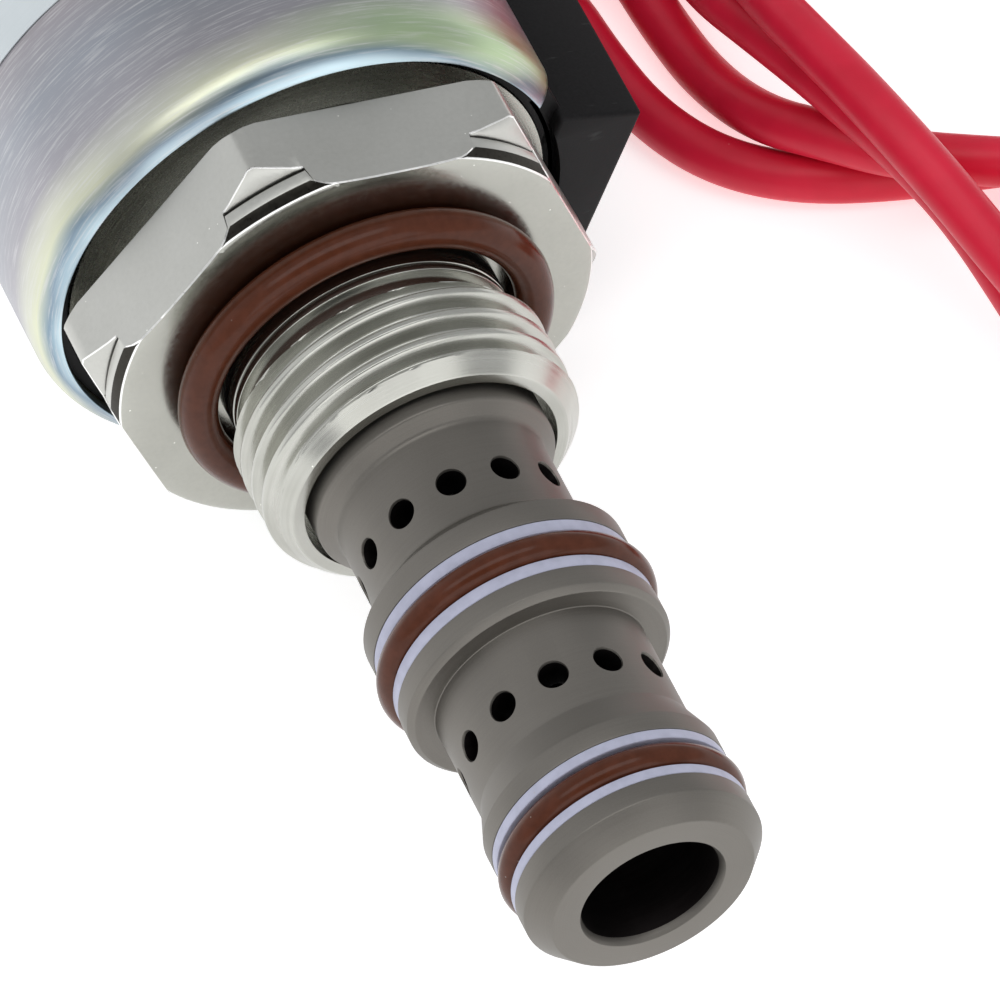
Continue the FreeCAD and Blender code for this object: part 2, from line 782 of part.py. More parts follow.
# Lead wires.
def route_wire(points):
    """Straight runs joined by tangent arcs, with the radii of the arcs."""
    vectors = [FreeCAD.Vector(*point) for point in points]
    edges = []
    radii = []
    last = vectors[0]
    for before, corner, after in zip(vectors, vectors[1:], vectors[2:]):
        incoming = (corner - before).normalize()
        outgoing = (after - corner).normalize()
        half_turn = incoming.getAngle(outgoing) / 2
        cut = 0.45 * min((corner - before).Length, (after - corner).Length)
        radius = cut / math.tan(half_turn)
        arc_start = corner - incoming * cut
        arc_end = corner + outgoing * cut
        inward = (outgoing - incoming).normalize()
        middle = corner + inward * (radius / math.cos(half_turn) - radius)
        edges.append(Part.LineSegment(last, arc_start).toShape())
        edges.append(Part.Arc(arc_start, middle, arc_end).toShape())
        radii.append(radius)
        last = arc_end
    edges.append(Part.LineSegment(last, vectors[-1]).toShape())
    return Part.Wire(edges), radii


def make_lead(name, points):
    """A lead's free stretch, as a round tube from its exit to the stored turns."""
    path, radii = route_wire(points)
    direction = FreeCAD.Vector(*points[1]) - FreeCAD.Vector(*points[0])
    circle = Part.Circle(FreeCAD.Vector(*points[0]), direction, value("lead_radius"))
    solid = path.makePipeShell([Part.Wire(circle.toShape())], True, True)
    expected = math.pi * value("lead_radius") ** 2 * path.Length
    print(name, "length", round(path.Length, 1), "radii", [round(radius, 1) for radius in radii])
    print(name, "volume over section times length", round(solid.Volume / expected, 4))
    lead = doc.addObject("Part::Feature", name)
    lead.Label = name
    lead.Shape = solid
    lead.Placement = FreeCAD.Placement()


def make_stored_turns():
    """Both leads' spare length, wound into one round coil that lies on the surface."""
    outer = doc.addObject("Part::Cylinder", "stored_outside")
    inner = doc.addObject("Part::Cylinder", "stored_inside")
    for cylinder, radius in ((outer, "store_outer_radius"), (inner, "store_inner_radius")):
        cylinder.setExpression("Radius", linked(radius))
        cylinder.setExpression("Height", linked("store_height"))
        cylinder.setExpression("Placement.Base.x", linked("store_x"))
        cylinder.setExpression("Placement.Base.y", linked("store_y"))
    ring = doc.addObject("Part::Cut", "lead_coil")
    ring.Label = "lead_coil"
    ring.Base = outer
    ring.Tool = inner
    centre = FreeCAD.Vector(value("store_x"), value("store_y"), value("lead_radius"))
    offset = FreeCAD.Vector(-value("stored_end_back"), value("stored_end_aside"), 0)
    for name, side in STORED_ENDS.items():
        core = doc.addObject("Part::Cylinder", name)
        core.Label = name
        core.setExpression("Radius", linked("lead_core_radius"))
        core.setExpression("Height", linked("lead_core_length"))
        onward = FreeCAD.Vector(side, 0, 0)
        turn = FreeCAD.Rotation(FreeCAD.Vector(0, 0, 1), onward)
        core.Placement = FreeCAD.Placement(centre + offset * side, turn)


def make_tie():
    """A flat tie round the stored turns' section."""
    thickness = value("tie_thickness")
    width = value("tie_width")
    inner = value("store_inner_radius")
    outer = value("store_outer_radius")
    height = value("store_height")
    loop = Part.makeBox(
        outer - inner + 2 * thickness, width, height + thickness,
        FreeCAD.Vector(inner - thickness, -width / 2, 0),
    )
    hole = Part.makeBox(
        outer - inner, width, height - thickness, FreeCAD.Vector(inner, -width / 2, thickness)
    )
    tie = doc.addObject("Part::Feature", "lead_tie")
    tie.Label = "lead_tie"
    tie.Shape = loop.cut(hole)
    tie.Placement = FreeCAD.Placement(
        FreeCAD.Vector(value("store_x"), value("store_y"), 0),
        FreeCAD.Rotation(FreeCAD.Vector(0, 0, 1), TIE_ANGLE),
    )


make_cage()
make_cage_seals()
make_adapter()
make_guide_tube()
make_armature()
make_pole_piece()
make_return_spring()
make_spool()
make_can()
make_flux_washers()
make_bobbin()
make_moulding()
make_crimps()
make_label()
make_coil_nut()
make_lead("lower_lead", LOWER_LEAD_ROUTE)
make_lead("upper_lead", UPPER_LEAD_ROUTE)
make_stored_turns()
make_tie()
doc.recompute()

NODES = [
    "cage", "nose_o_ring", "nose_backup_front", "nose_backup_rear",
    "middle_o_ring", "middle_backup_front", "middle_backup_rear",
    "hex_adapter", "hex_o_ring", "guide_tube", "armature", "pole_piece", "residual_shim",
    "return_spring", "spool", "push_link", "coil_can", "front_flux_washer",
    "rear_flux_washer", "bobbin", "winding", "coil_moulding", "lead_crimps", "coil_label",
    "coil_nut", "nut_o_ring", "lower_lead", "upper_lead", "lead_coil", "lower_lead_end",
    "upper_lead_end", "lead_tie",
]
for item in doc.Objects:
    if "Invalid" in item.State or "Error" in item.State:
        raise RuntimeError(f"{item.Name} failed: {item.State}")
os.makedirs("parts", exist_ok=True)
for name in NODES:
    shape = doc.getObject(name).Shape
    if shape.isNull() or not shape.isValid():
        raise RuntimeError(f"{name} has no valid shape")
for name in NODES:
    shape = doc.getObject(name).Shape
    shape.exportStep(f"parts/{name}.step")
    box = shape.BoundBox
    print(f"{name:22s} {shape.Volume:9.1f} mm3  {len(shape.Solids)} solid(s)"
          f"  z {box.ZMin:.2f} to {box.ZMax:.2f}")
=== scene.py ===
import json
import math
import random

import bmesh
import bpy
from mathutils import Matrix, Vector

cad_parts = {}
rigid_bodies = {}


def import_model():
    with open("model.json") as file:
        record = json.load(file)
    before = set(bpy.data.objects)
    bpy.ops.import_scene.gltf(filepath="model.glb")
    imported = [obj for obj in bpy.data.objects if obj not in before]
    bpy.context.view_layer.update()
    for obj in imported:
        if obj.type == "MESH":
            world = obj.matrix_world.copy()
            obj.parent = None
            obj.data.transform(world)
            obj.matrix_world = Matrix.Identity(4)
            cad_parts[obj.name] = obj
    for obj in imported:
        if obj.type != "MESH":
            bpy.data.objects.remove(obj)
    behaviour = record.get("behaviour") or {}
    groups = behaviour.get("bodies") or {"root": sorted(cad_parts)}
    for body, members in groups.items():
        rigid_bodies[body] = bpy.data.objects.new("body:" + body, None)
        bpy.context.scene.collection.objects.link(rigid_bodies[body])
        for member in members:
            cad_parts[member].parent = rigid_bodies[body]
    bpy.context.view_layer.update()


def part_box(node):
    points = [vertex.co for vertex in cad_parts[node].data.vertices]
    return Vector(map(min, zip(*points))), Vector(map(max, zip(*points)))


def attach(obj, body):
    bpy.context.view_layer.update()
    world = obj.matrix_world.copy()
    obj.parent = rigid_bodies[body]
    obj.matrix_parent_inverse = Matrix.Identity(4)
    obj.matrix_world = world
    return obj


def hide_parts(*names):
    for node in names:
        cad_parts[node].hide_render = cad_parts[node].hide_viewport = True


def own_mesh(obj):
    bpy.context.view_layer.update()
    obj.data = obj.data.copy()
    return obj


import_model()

# Shapes are in millimetres here and in metres in the scene. The valve's axis runs along +Y,
# stations are distances from the nose face, and angles turn from +X towards +Z.
MM = 0.001
ROOT = "valve"
washer_low, washer_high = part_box("front_flux_washer")
AXIS_X = (washer_low.x + washer_high.x) / 2
AXIS_Z = (washer_low.z + washer_high.z) / 2
NOSE_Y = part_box("cage")[0].y
BLOCK_TURN = math.radians(-26.4)
SEGMENTS = 192


def at(radius, station, angle):
    """The scene's point at a radius, station and angle in radians."""
    return Vector((
        AXIS_X + radius * MM * math.cos(angle),
        NOSE_Y + station * MM,
        AXIS_Z + radius * MM * math.sin(angle),
    ))


# Camera -----------------------------------------------------------------------------------

def make_camera():
    """A long lens from above and in front of the nose, rolled."""
    data = bpy.data.cameras.new("camera")
    data.lens = 360
    data.sensor_width = 36
    data.clip_end = 10
    camera = bpy.data.objects.new("camera", data)
    right = Vector((0.91355, -0.39232, -0.10732))
    up = Vector((0.38110, 0.73348, 0.56283))
    back = right.cross(up)
    nose = at(0, 0, 0)
    camera.matrix_world = Matrix.Translation(nose + Vector((-0.07663, -0.28253, 0.45815))) @ Matrix(
        (right, up, back)
    ).transposed().to_4x4()
    bpy.context.collection.objects.link(camera)
    bpy.context.scene.camera = camera


make_camera()


# Materials --------------------------------------------------------------------------------

class Look:
    """A procedural material: its one shader and the nodes that feed it."""

    def __init__(self, name, values):
        self.material = bpy.data.materials.new(name)
        self.material.use_nodes = True
        self.tree = self.material.node_tree
        self.shader = self.tree.nodes["Principled BSDF"]
        for socket, value in values.items():
            self.shader.inputs[socket].default_value = value

    def node(self, kind, inputs, **settings):
        node = self.tree.nodes.new("ShaderNode" + kind)
        for key, value in settings.items():
            setattr(node, key, value)
        for key, value in inputs.items():
            if isinstance(value, bpy.types.NodeSocket):
                self.tree.links.new(value, node.inputs[key])
            else:
                node.inputs[key].default_value = value
        return node

    def math(self, operation, first, second=0.0):
        return self.node("Math", {0: first, 1: second}, operation=operation).outputs[0]

    def place(self):
        """Millimetres from the nose along the axis, and from the axis across it."""
        coordinates = self.node("TexCoord", {}).outputs["Object"]
        shifted = self.node(
            "VectorMath", {0: coordinates, 1: (AXIS_X, NOSE_Y, AXIS_Z)}, operation="SUBTRACT"
        ).outputs[0]
        return self.node(
            "VectorMath", {0: shifted, "Scale": 1 / MM}, operation="SCALE"
        ).outputs[0]

    def rings(self, fine, around):
        """A place for noise that runs in rings round the axis, fine across and slow along them."""
        x, station, z = self.split(self.place())
        radius = self.math("SQRT", self.math(
            "ADD", self.math("MULTIPLY", x, x), self.math("MULTIPLY", z, z)
        ))
        across = self.math("MULTIPLY", radius, fine)
        first = self.math("ADD", self.math(
            "MULTIPLY", self.math("DIVIDE", x, radius), around), across)
        last = self.math("MULTIPLY", self.math("DIVIDE", z, radius), around)
        return self.node(
            "CombineXYZ", {0: first, 1: self.math("MULTIPLY", station, fine), 2: last}
        ).outputs[0]

    def split(self, vector):
        return self.node("SeparateXYZ", {0: vector}).outputs

    def noise(self, where, scale, detail=2.0, roughness=0.5):
        return self.node("TexNoise", {
            "Vector": where, "Scale": scale, "Detail": detail, "Roughness": roughness,
        }).outputs[0]

    def dots(self, where, scale, size):
        """1 in small round dots, 0 elsewhere."""
        cells = self.node("TexVoronoi", {"Vector": where, "Scale": scale})
        return self.spread(cells.outputs["Distance"], size * 0.5, size, 1.0, 0.0)

    def spread(self, value, low, high, to_low, to_high):
        return self.node("MapRange", {
            0: value, 1: low, 2: high, 3: to_low, 4: to_high,
        }).outputs[0]

    def ramp(self, factor, stops):
        node = self.node("ValToRGB", {0: factor})
        elements = node.color_ramp.elements
        while len(elements) < len(stops):
            elements.new(0.5)
        for element, (position, colour) in zip(elements, stops):
            element.position = position
            element.color = (*colour, 1)
        return node.outputs[0]

    def mix(self, factor, first, second):
        node = self.node("Mix", {0: factor}, data_type="RGBA")
        for index, colour in ((6, first), (7, second)):
            if isinstance(colour, bpy.types.NodeSocket):
                self.tree.links.new(colour, node.inputs[index])
            else:
                node.inputs[index].default_value = (*colour, 1)
        return node.outputs[2]

    def finish(self, colour, roughness, height=None, depth=0.01):
        """Links the shader's colour, roughness and bump; the depth is in millimetres."""
        self.tree.links.new(colour, self.shader.inputs["Base Color"])
        self.tree.links.new(roughness, self.shader.inputs["Roughness"])
        if height is not None:
            bump = self.node("Bump", {"Height": height, "Strength": 1.0, "Distance": depth * MM})
            self.tree.links.new(bump.outputs[0], self.shader.inputs["Normal"])
        return self.material


def steel(name, dark, light, roughness, rings=6.0, depth=0.003, metallic=1.0):
    """Turned metal: tonal drift, fine turning rings, and specks."""
    look = Look(name, {"Metallic": metallic})
    place = look.place()
    drift = look.noise(place, 0.12, 3.0)
    grain = look.noise(look.rings(rings, 1.5), 1.0, 3.0)
    fine = look.noise(place, 9.0, 2.0)
    tone = look.math("ADD", look.math("MULTIPLY", drift, 0.6), look.math("MULTIPLY", grain, 0.4))
    colour = look.ramp(tone, [(0.3, dark), (0.7, light)])
    rough = look.spread(
        look.math("ADD", grain, fine), 0.6, 1.4, roughness - 0.05, roughness + 0.06
    )
    height = look.math("ADD", grain, look.math("MULTIPLY", fine, 0.5))
    return look.finish(colour, rough, height, depth)


def cage_steel():
    """Matt grey nitrided steel, a little rubbed bright."""
    look = Look("cage_steel", {"Metallic": 1.0})
    place = look.place()
    drift = look.noise(place, 0.09, 3.0)
    grain = look.noise(look.rings(14.0, 1.0), 1.0, 2.0)
    fine = look.noise(place, 14.0, 3.0, 0.6)
    tone = look.math("ADD", look.math("MULTIPLY", drift, 0.5), look.math(
        "ADD", look.math("MULTIPLY", grain, 0.2), look.math("MULTIPLY", fine, 0.3)))
    colour = look.ramp(tone, [(0.32, (0.152, 0.142, 0.127)), (0.68, (0.210, 0.197, 0.178))])
    rough = look.spread(tone, 0.3, 0.7, 0.42, 0.54)
    return look.finish(colour, rough, look.math("ADD", fine, grain), 0.0022)


def turned_plating():
    """Bright plating over fine turning, rubbed brighter in places."""
    look = Look("thread_plating", {"Metallic": 1.0})
    rings = look.noise(look.rings(3.0, 0.35), 1.0, 2.0)
    drift = look.noise(look.place(), 0.25, 2.0)
    marks = look.dots(look.place(), 0.8, 0.05)
    tone = look.math("ADD", look.math("MULTIPLY", drift, 0.5), look.math("MULTIPLY", rings, 0.5))
    colour = look.mix(marks, look.ramp(
        tone, [(0.30, (0.38, 0.38, 0.345)), (0.70, (0.53, 0.53, 0.49))]), (0.85, 0.85, 0.80))
    return look.finish(colour, look.spread(rings, 0.3, 0.7, 0.20, 0.30), rings, 0.002)


def adapter_plating(name, roughness, dark, light):
    """Satin zinc-nickel plating with stray bright specks."""
    look = Look(name, {"Metallic": 1.0})
    place = look.place()
    drift = look.noise(place, 0.15, 3.0)
    mottle = look.noise(place, 3.5, 3.0, 0.6)
    specks = look.dots(place, 0.9, 0.05)
    tone = look.math("ADD", look.math("MULTIPLY", drift, 0.6), look.math("MULTIPLY", mottle, 0.4))
    colour = look.mix(specks, look.ramp(tone, [(0.3, dark), (0.7, light)]), (0.92, 0.92, 0.88))
    rough = look.spread(mottle, 0.3, 0.7, roughness - 0.04, roughness + 0.05)
    height = look.math("ADD", look.noise(place, 16.0, 2.0), look.math("MULTIPLY", specks, 1.5))
    return look.finish(colour, rough, height, 0.0018)


def can_plating():
    """Bright passivated zinc on spun steel: faint rainbow tints and streaks round the can, and
    painted reflection and highlight bands along the rim.
    """
    look = Look("can_plating", {"Metallic": 1.0})
    place = look.place()
    x, station, _ = look.split(place)
    streaks = look.noise(look.rings(7.0, 5.0), 1.0, 4.0, 0.65)
    wide = look.noise(look.rings(0.22, 1.3), 1.0, 2.0)
    cloud = look.noise(place, 0.10, 2.0)
    shift = look.math("MULTIPLY", look.math("SUBTRACT", wide, 0.5), 2.4)
    along = look.math("ADD", station, shift)
    film = look.spread(along, 48.0, 70.5, 0.0, 1.0)
    # By the rim the ramp paints a pale cyan reflection at the edge, a dark painted reflection band,
    # and a pale yellow painted highlight; further back it holds the plating's faint rainbow tints.
    tint_and_painted_reflection = look.ramp(film, [
        (0.010, (0.56, 0.72, 0.78)),
        (0.035, (0.20, 0.29, 0.37)),
        (0.070, (0.66, 0.68, 0.50)),
        (0.120, (0.58, 0.59, 0.50)),
        (0.200, (0.35, 0.34, 0.37)),
        (0.400, (0.31, 0.33, 0.37)),
        (0.600, (0.35, 0.32, 0.34)),
        (0.820, (0.31, 0.34, 0.38)),
        (1.000, (0.36, 0.36, 0.38)),
    ])
    band = look.math("MULTIPLY", look.spread(along, 48.6, 49.6, 0.0, 1.0),
                     look.spread(along, 50.6, 53.0, 1.0, 0.0))
    green = look.math("MULTIPLY", band, look.spread(x, 0.0, 7.0, 0.0, 0.75))
    tint_and_painted_reflection = look.mix(green, tint_and_painted_reflection, (0.36, 0.52, 0.28))
    pale = look.mix(look.spread(cloud, 0.35, 0.65, 0.0, 0.35), tint_and_painted_reflection, (0.35, 0.35, 0.37))
    rubbed = look.mix(look.spread(streaks, 0.50, 0.68, 0.0, 0.50), pale, (0.68, 0.68, 0.68))
    marks = look.dots(place, 0.23, 0.03)
    colour = look.mix(marks, rubbed, (0.10, 0.10, 0.11))
    rough = look.spread(streaks, 0.3, 0.7, 0.30, 0.44)
    height = look.math("ADD", streaks, look.math("MULTIPLY", look.noise(place, 9.0, 2.0), 0.3))
    return look.finish(colour, rough, height, 0.006)


def rubber(name, dark, light, roughness, spread=0.05):
    """Moulded rubber or soft plastic with a faint mottle and a few specks of dust."""
    look = Look(name, {"Metallic": 0.0, "Specular IOR Level": 0.16})
    place = look.place()
    mottle = look.noise(place, 1.4, 3.0)
    fine = look.noise(place, 14.0, 2.0)
    dust = look.dots(place, 0.75, 0.045)
    colour = look.mix(
        look.math("MULTIPLY", dust, 0.5), look.ramp(mottle, [(0.35, dark), (0.65, light)]),
        (0.42, 0.38, 0.34),
    )
    rough = look.spread(fine, 0.3, 0.7, roughness - spread, roughness + spread)
    return look.finish(colour, rough, look.math("ADD", fine, dust), 0.0015)


def lead_jacket():
    """Soft red silicone jacket, a little darker in patches and dusty."""
    look = Look("lead_jacket", {
        "Metallic": 0.0, "Specular IOR Level": 0.3, "Subsurface Weight": 0.06,
    })
    look.shader.inputs["Subsurface Radius"].default_value = (0.0012, 0.0003, 0.0003)
    place = look.place()
    drift = look.noise(place, 0.35, 3.0)
    fine = look.noise(place, 7.0, 3.0)
    dust = look.dots(place, 0.4, 0.03)
    colour = look.mix(
        look.math("MULTIPLY", dust, 0.35),
        look.ramp(drift, [(0.30, (0.60, 0.010, 0.036)), (0.70, (0.68, 0.014, 0.046))]),
        (0.75, 0.30, 0.30),
    )
    rough = look.spread(fine, 0.3, 0.7, 0.36, 0.44)
    return look.finish(colour, rough, fine, 0.002)


def moulded_black():
    """Matt glass-filled black plastic with a few scuffs."""
    look = Look("moulded_black", {"Metallic": 0.0, "Specular IOR Level": 0.12})
    place = look.place()
    grain = look.noise(place, 6.0, 3.0, 0.6)
    scuffs = look.noise(look.node(
        "VectorMath", {0: place, 1: (0.25, 2.4, 0.7)}, operation="MULTIPLY").outputs[0], 1.0, 4.0)
    scuff = look.spread(scuffs, 0.66, 0.72, 0.0, 0.5)
    dust = look.dots(place, 0.35, 0.03)
    colour = look.mix(
        look.math("ADD", scuff, look.math("MULTIPLY", dust, 0.4)),
        look.ramp(grain, [(0.35, (0.0070, 0.0066, 0.0070)), (0.65, (0.0110, 0.0104, 0.0110))]),
        (0.045, 0.045, 0.045),
    )
    rough = look.spread(grain, 0.3, 0.7, 0.42, 0.55)
    return look.finish(colour, rough, grain, 0.006)


def label_film():
    """Silvered polyester film with a faint lengthwise grain."""
    look = Look("label_film", {"Metallic": 0.35})
    place = look.place()
    grain = look.noise(look.rings(12.0, 1.0), 1.0, 2.0)
    cloud = look.noise(place, 0.3, 2.0)
    tone = look.math("ADD", look.math("MULTIPLY", grain, 0.4), look.math("MULTIPLY", cloud, 0.6))
    colour = look.ramp(tone, [(0.3, (0.58, 0.63, 0.65)), (0.7, (0.64, 0.69, 0.71))])
    return look.finish(colour, look.spread(grain, 0.3, 0.7, 0.30, 0.38), grain, 0.001)


def copper_enamel():
    """Close rings of enamelled wire, painted darker in the grooves between turns as shade."""
    look = Look("copper_enamel", {"Metallic": 1.0})
    wires = look.node(
        "TexWave", {"Vector": look.place(), "Scale": 1.6}, bands_direction="Y"
    ).outputs["Fac"]
    # The dark end of the ramp falls in the grooves between turns: painted shade.
    colour = look.ramp(wires, [(0.0, (0.22, 0.05, 0.015)), (1.0, (0.78, 0.30, 0.12))])
    return look.finish(colour, look.spread(wires, 0.0, 1.0, 0.42, 0.25), wires, 0.08)


CAGE_STEEL = cage_steel()
# Near black steel: painted shade for the cage's bore and port walls.
BORE_PAINTED_SHADE = steel("bore_painted_shade", (0.010, 0.008, 0.008), (0.020, 0.017, 0.017), 0.50)
HEX_SATIN = adapter_plating("hex_satin", 0.36, (0.46, 0.46, 0.430), (0.55, 0.55, 0.52))
HEX_GLOSS = adapter_plating("hex_gloss", 0.20, (0.37, 0.37, 0.335), (0.44, 0.44, 0.40))
THREAD_PLATING = turned_plating()
# Near white plating: painted highlight for the hexagon's edges.
EDGE_PAINTED_HIGHLIGHT = adapter_plating("edge_painted_highlight", 0.30, (0.80, 0.80, 0.78), (0.92, 0.92, 0.90))
# Near black plating: painted shade for the hexagon's step and groove.
STEP_PAINTED_SHADE = adapter_plating("step_painted_shade", 0.30, (0.028, 0.026, 0.022), (0.052, 0.049, 0.043))
CAN_PLATING = can_plating()
BROWN_RUBBER = rubber("brown_rubber", (0.072, 0.021, 0.010), (0.088, 0.026, 0.013), 0.17, 0.02)
PTFE = rubber("ptfe", (0.42, 0.43, 0.54), (0.47, 0.48, 0.60), 0.46)
MOULDED_BLACK = moulded_black()
LEAD_JACKET = lead_jacket()
LABEL_FILM = label_film()
NUT_PLATING = adapter_plating("nut_plating", 0.28, (0.58, 0.62, 0.64), (0.70, 0.74, 0.76))
STAINLESS = steel("stainless", (0.46, 0.45, 0.43), (0.56, 0.55, 0.53), 0.30)
SOFT_IRON = steel("soft_iron", (0.38, 0.37, 0.35), (0.48, 0.47, 0.45), 0.34)
GROUND_STEEL = steel("ground_steel", (0.50, 0.50, 0.49), (0.60, 0.60, 0.59), 0.18, 20.0, 0.001)
DARK_STEEL = steel("dark_steel", (0.42, 0.42, 0.38), (0.58, 0.58, 0.53), 0.26)
BRASS = steel("brass", (0.66, 0.48, 0.20), (0.76, 0.56, 0.26), 0.25)
ZINC = steel("zinc", (0.58, 0.60, 0.60), (0.70, 0.72, 0.73), 0.25)
BLACK_RUBBER = rubber("black_rubber", (0.010, 0.010, 0.010), (0.018, 0.018, 0.018), 0.38)
TIN = steel("tin", (0.62, 0.62, 0.60), (0.74, 0.74, 0.72), 0.28, 4.0, 0.01)
COPPER = copper_enamel()
BLACK_NYLON = rubber("black_nylon", (0.012, 0.012, 0.012), (0.020, 0.020, 0.020), 0.40)
BOBBIN_NYLON = rubber("bobbin_nylon", (0.014, 0.013, 0.013), (0.022, 0.020, 0.020), 0.42)


# Mesh building ----------------------------------------------------------------------------

def skin(rings, count):
    """Quads between neighbouring rings of points."""
    faces = []
    for ring in range(rings - 1):
        for step in range(count):
            onward = (step + 1) % count
            one, two = ring * count, (ring + 1) * count
            faces.append((one + step, one + onward, two + onward, two + step))
    return faces


def tube(rings, count):
    """Quads between neighbouring rings of points, with a flat face at both ends."""
    last = (rings - 1) * count
    return skin(rings, count) + [tuple(range(count)), tuple(range(last, last + count))]


def ring_shape(columns, size):
    """Quads between columns of points that close into a ring."""
    faces = []
    for column in range(columns):
        one, two = column * size, (column + 1) % columns * size
        for row in range(size):
            onward = (row + 1) % size
            faces.append((one + row, one + onward, two + onward, two + row))
    return faces


def rounded(profile, steps=3):
    """A closed outline of (radius, station, fillet) corners, with the fillets as small arcs."""
    points = []
    for index, corner in enumerate(profile):
        here = Vector(corner[:2])
        fillet = corner[2] if len(corner) > 2 else 0.0
        before = Vector(profile[index - 1][:2])
        after = Vector(profile[(index + 1) % len(profile)][:2])
        incoming, outgoing = before - here, after - here
        if fillet == 0 or incoming.length == 0 or outgoing.length == 0:
            points.append(tuple(here))
            continue
        half = incoming.angle(outgoing) / 2
        cut = min(fillet / math.tan(half), incoming.length * 0.48, outgoing.length * 0.48)
        start = here + incoming.normalized() * cut
        end = here + outgoing.normalized() * cut
        for step in range(steps + 1):
            t = step / steps
            points.append(tuple(start * (1 - t) ** 2 + here * 2 * t * (1 - t) + end * t ** 2))
    return points


def arc(radius, station, size, start, end, steps):
    """Points of an arc in the outline's plane, from angles in degrees from +radius to +station."""
    points = []
    for step in range(steps + 1):
        angle = math.radians(start + (end - start) * step / steps)
        points.append((radius + size * math.cos(angle), station + size * math.sin(angle)))
    return points


def lathe(outline, segments=SEGMENTS, start=0.0, sweep=math.tau):
    """Vertices and faces of a closed outline turned about the axis, whole or in part."""
    whole = sweep >= math.tau
    columns = segments if whole else segments + 1
    size = len(outline)
    vertices = [
        at(radius, station, start + sweep * column / segments)
        for column in range(columns)
        for radius, station in outline
    ]
    return vertices, ring_shape(columns, size) if whole else tube(columns, size)


def make_mesh(name, shapes):
    """A mesh from (vertices, faces) shapes, closed up and facing outwards."""
    whole = bmesh.new()
    for vertices, faces in shapes:
        made = [whole.verts.new(vertex) for vertex in vertices]
        for face in faces:
            try:
                whole.faces.new([made[index] for index in face])
            except ValueError:
                continue
    bmesh.ops.remove_doubles(whole, verts=whole.verts, dist=1e-7)
    bmesh.ops.dissolve_degenerate(whole, edges=whole.edges, dist=1e-7)
    bmesh.ops.recalc_face_normals(whole, faces=whole.faces)
    mesh = bpy.data.meshes.new(name)
    whole.to_mesh(mesh)
    whole.free()
    return mesh


def sharpen(mesh, degrees):
    """Smooth shading, broken at edges that turn more than an angle."""
    whole = bmesh.new()
    whole.from_mesh(mesh)
    limit = math.radians(degrees)
    for face in whole.faces:
        face.smooth = True
    for edge in whole.edges:
        edge.smooth = len(edge.link_faces) == 2 and edge.calc_face_angle(0) < limit
    whole.to_mesh(mesh)
    whole.free()


def applied(piece):
    """Bakes a piece's modifiers into its mesh."""
    depsgraph = bpy.context.evaluated_depsgraph_get()
    mesh = bpy.data.meshes.new_from_object(piece.evaluated_get(depsgraph))
    piece.modifiers.clear()
    piece.data = mesh


def cut(piece, mesh):
    """Takes a shape out of a piece."""
    tool = bpy.data.objects.new("tool", mesh)
    bpy.context.collection.objects.link(tool)
    difference = piece.modifiers.new("cut", "BOOLEAN")
    difference.operation = "DIFFERENCE"
    difference.solver = "EXACT"
    difference.object = tool
    applied(piece)
    bpy.data.objects.remove(tool)


def soften(piece, width, degrees=35.0, segments=2):
    """Small rounds on the piece's sharp edges."""
    bevel = piece.modifiers.new("soften", "BEVEL")
    bevel.width = width * MM
    bevel.segments = segments
    bevel.limit_method = "ANGLE"
    bevel.angle_limit = math.radians(degrees)
    bevel.use_clamp_overlap = True
    applied(piece)


def make_piece(name, shapes, materials, nodes, choose=None):
    """A piece on the valve's body that stands for CAD nodes."""
    mesh = make_mesh(name, shapes)
    piece = bpy.data.objects.new(name, mesh)
    bpy.context.collection.objects.link(piece)
    return dress(piece, materials, nodes, choose)


def dress(piece, materials, nodes, choose=None):
    """Gives a piece its materials, shading, body and slot, and hides the CAD nodes that it stands
    for.
    """
    for material in materials:
        piece.data.materials.append(material)
    if choose:
        for face in piece.data.polygons:
            face.material_index = choose(face)
    sharpen(piece.data, 32.0)
    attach(piece, ROOT)
    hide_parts(*nodes)
    return piece


def cylindrical(point):
    """A scene point's distance from the axis and station."""
    return math.hypot(point.x - AXIS_X, point.z - AXIS_Z) / MM, (point.y - NOSE_Y) / MM


# Cage -------------------------------------------------------------------------------------

HOLE_RADIUS = 0.83
HOLE_COUNT = 12
HOLE_TURN = math.radians(2.3)
HOLE_STATIONS = (11.54, 25.82)
MOUTH_DEPTH = 0.45

CAGE_OUTLINE = [
    (4.10, MOUTH_DEPTH), (4.33, 0.0, 0.05), (6.00, 0.0, 0.14), (7.09, 1.34, 0.22),
    (7.09, 2.60, 0.07), (5.54, 2.60), (5.54, 5.80), (7.09, 5.80, 0.07),
    (7.09, 7.00, 0.16), (6.37, 9.00, 0.55), (6.37, 15.40, 0.10), (7.57, 15.40, 0.12),
    (7.92, 15.75, 0.12), (7.92, 17.05, 0.07), (6.60, 17.05), (6.60, 20.50),
    (7.92, 20.50, 0.07), (7.92, 22.00, 0.16), (6.37, 23.20, 0.45), (6.37, 29.50, 0.45),
    (7.25, 30.25, 0.25), (7.25, 33.40), (6.70, 33.40), (6.70, 36.50), (4.10, 36.50),
]


def hole_cutter(station, angle):
    """A drill with a slight flare where it meets the cage's waist."""
    out = Vector((math.cos(angle), 0, math.sin(angle)))
    along = Vector((0, 1, 0))
    across = out.cross(along)
    centre = at(0, station, 0)
    count = 40
    profile = ((3.0, HOLE_RADIUS), (6.22, HOLE_RADIUS), (6.37, 0.90), (7.2, 1.30))
    vertices = []
    for height, radius in profile:
        for step in range(count):
            turn = math.tau * step / count
            vertices.append(centre + (
                out * height + along * radius * math.cos(turn) + across * radius * math.sin(turn)
            ) * MM)
    return vertices, tube(len(profile), count)


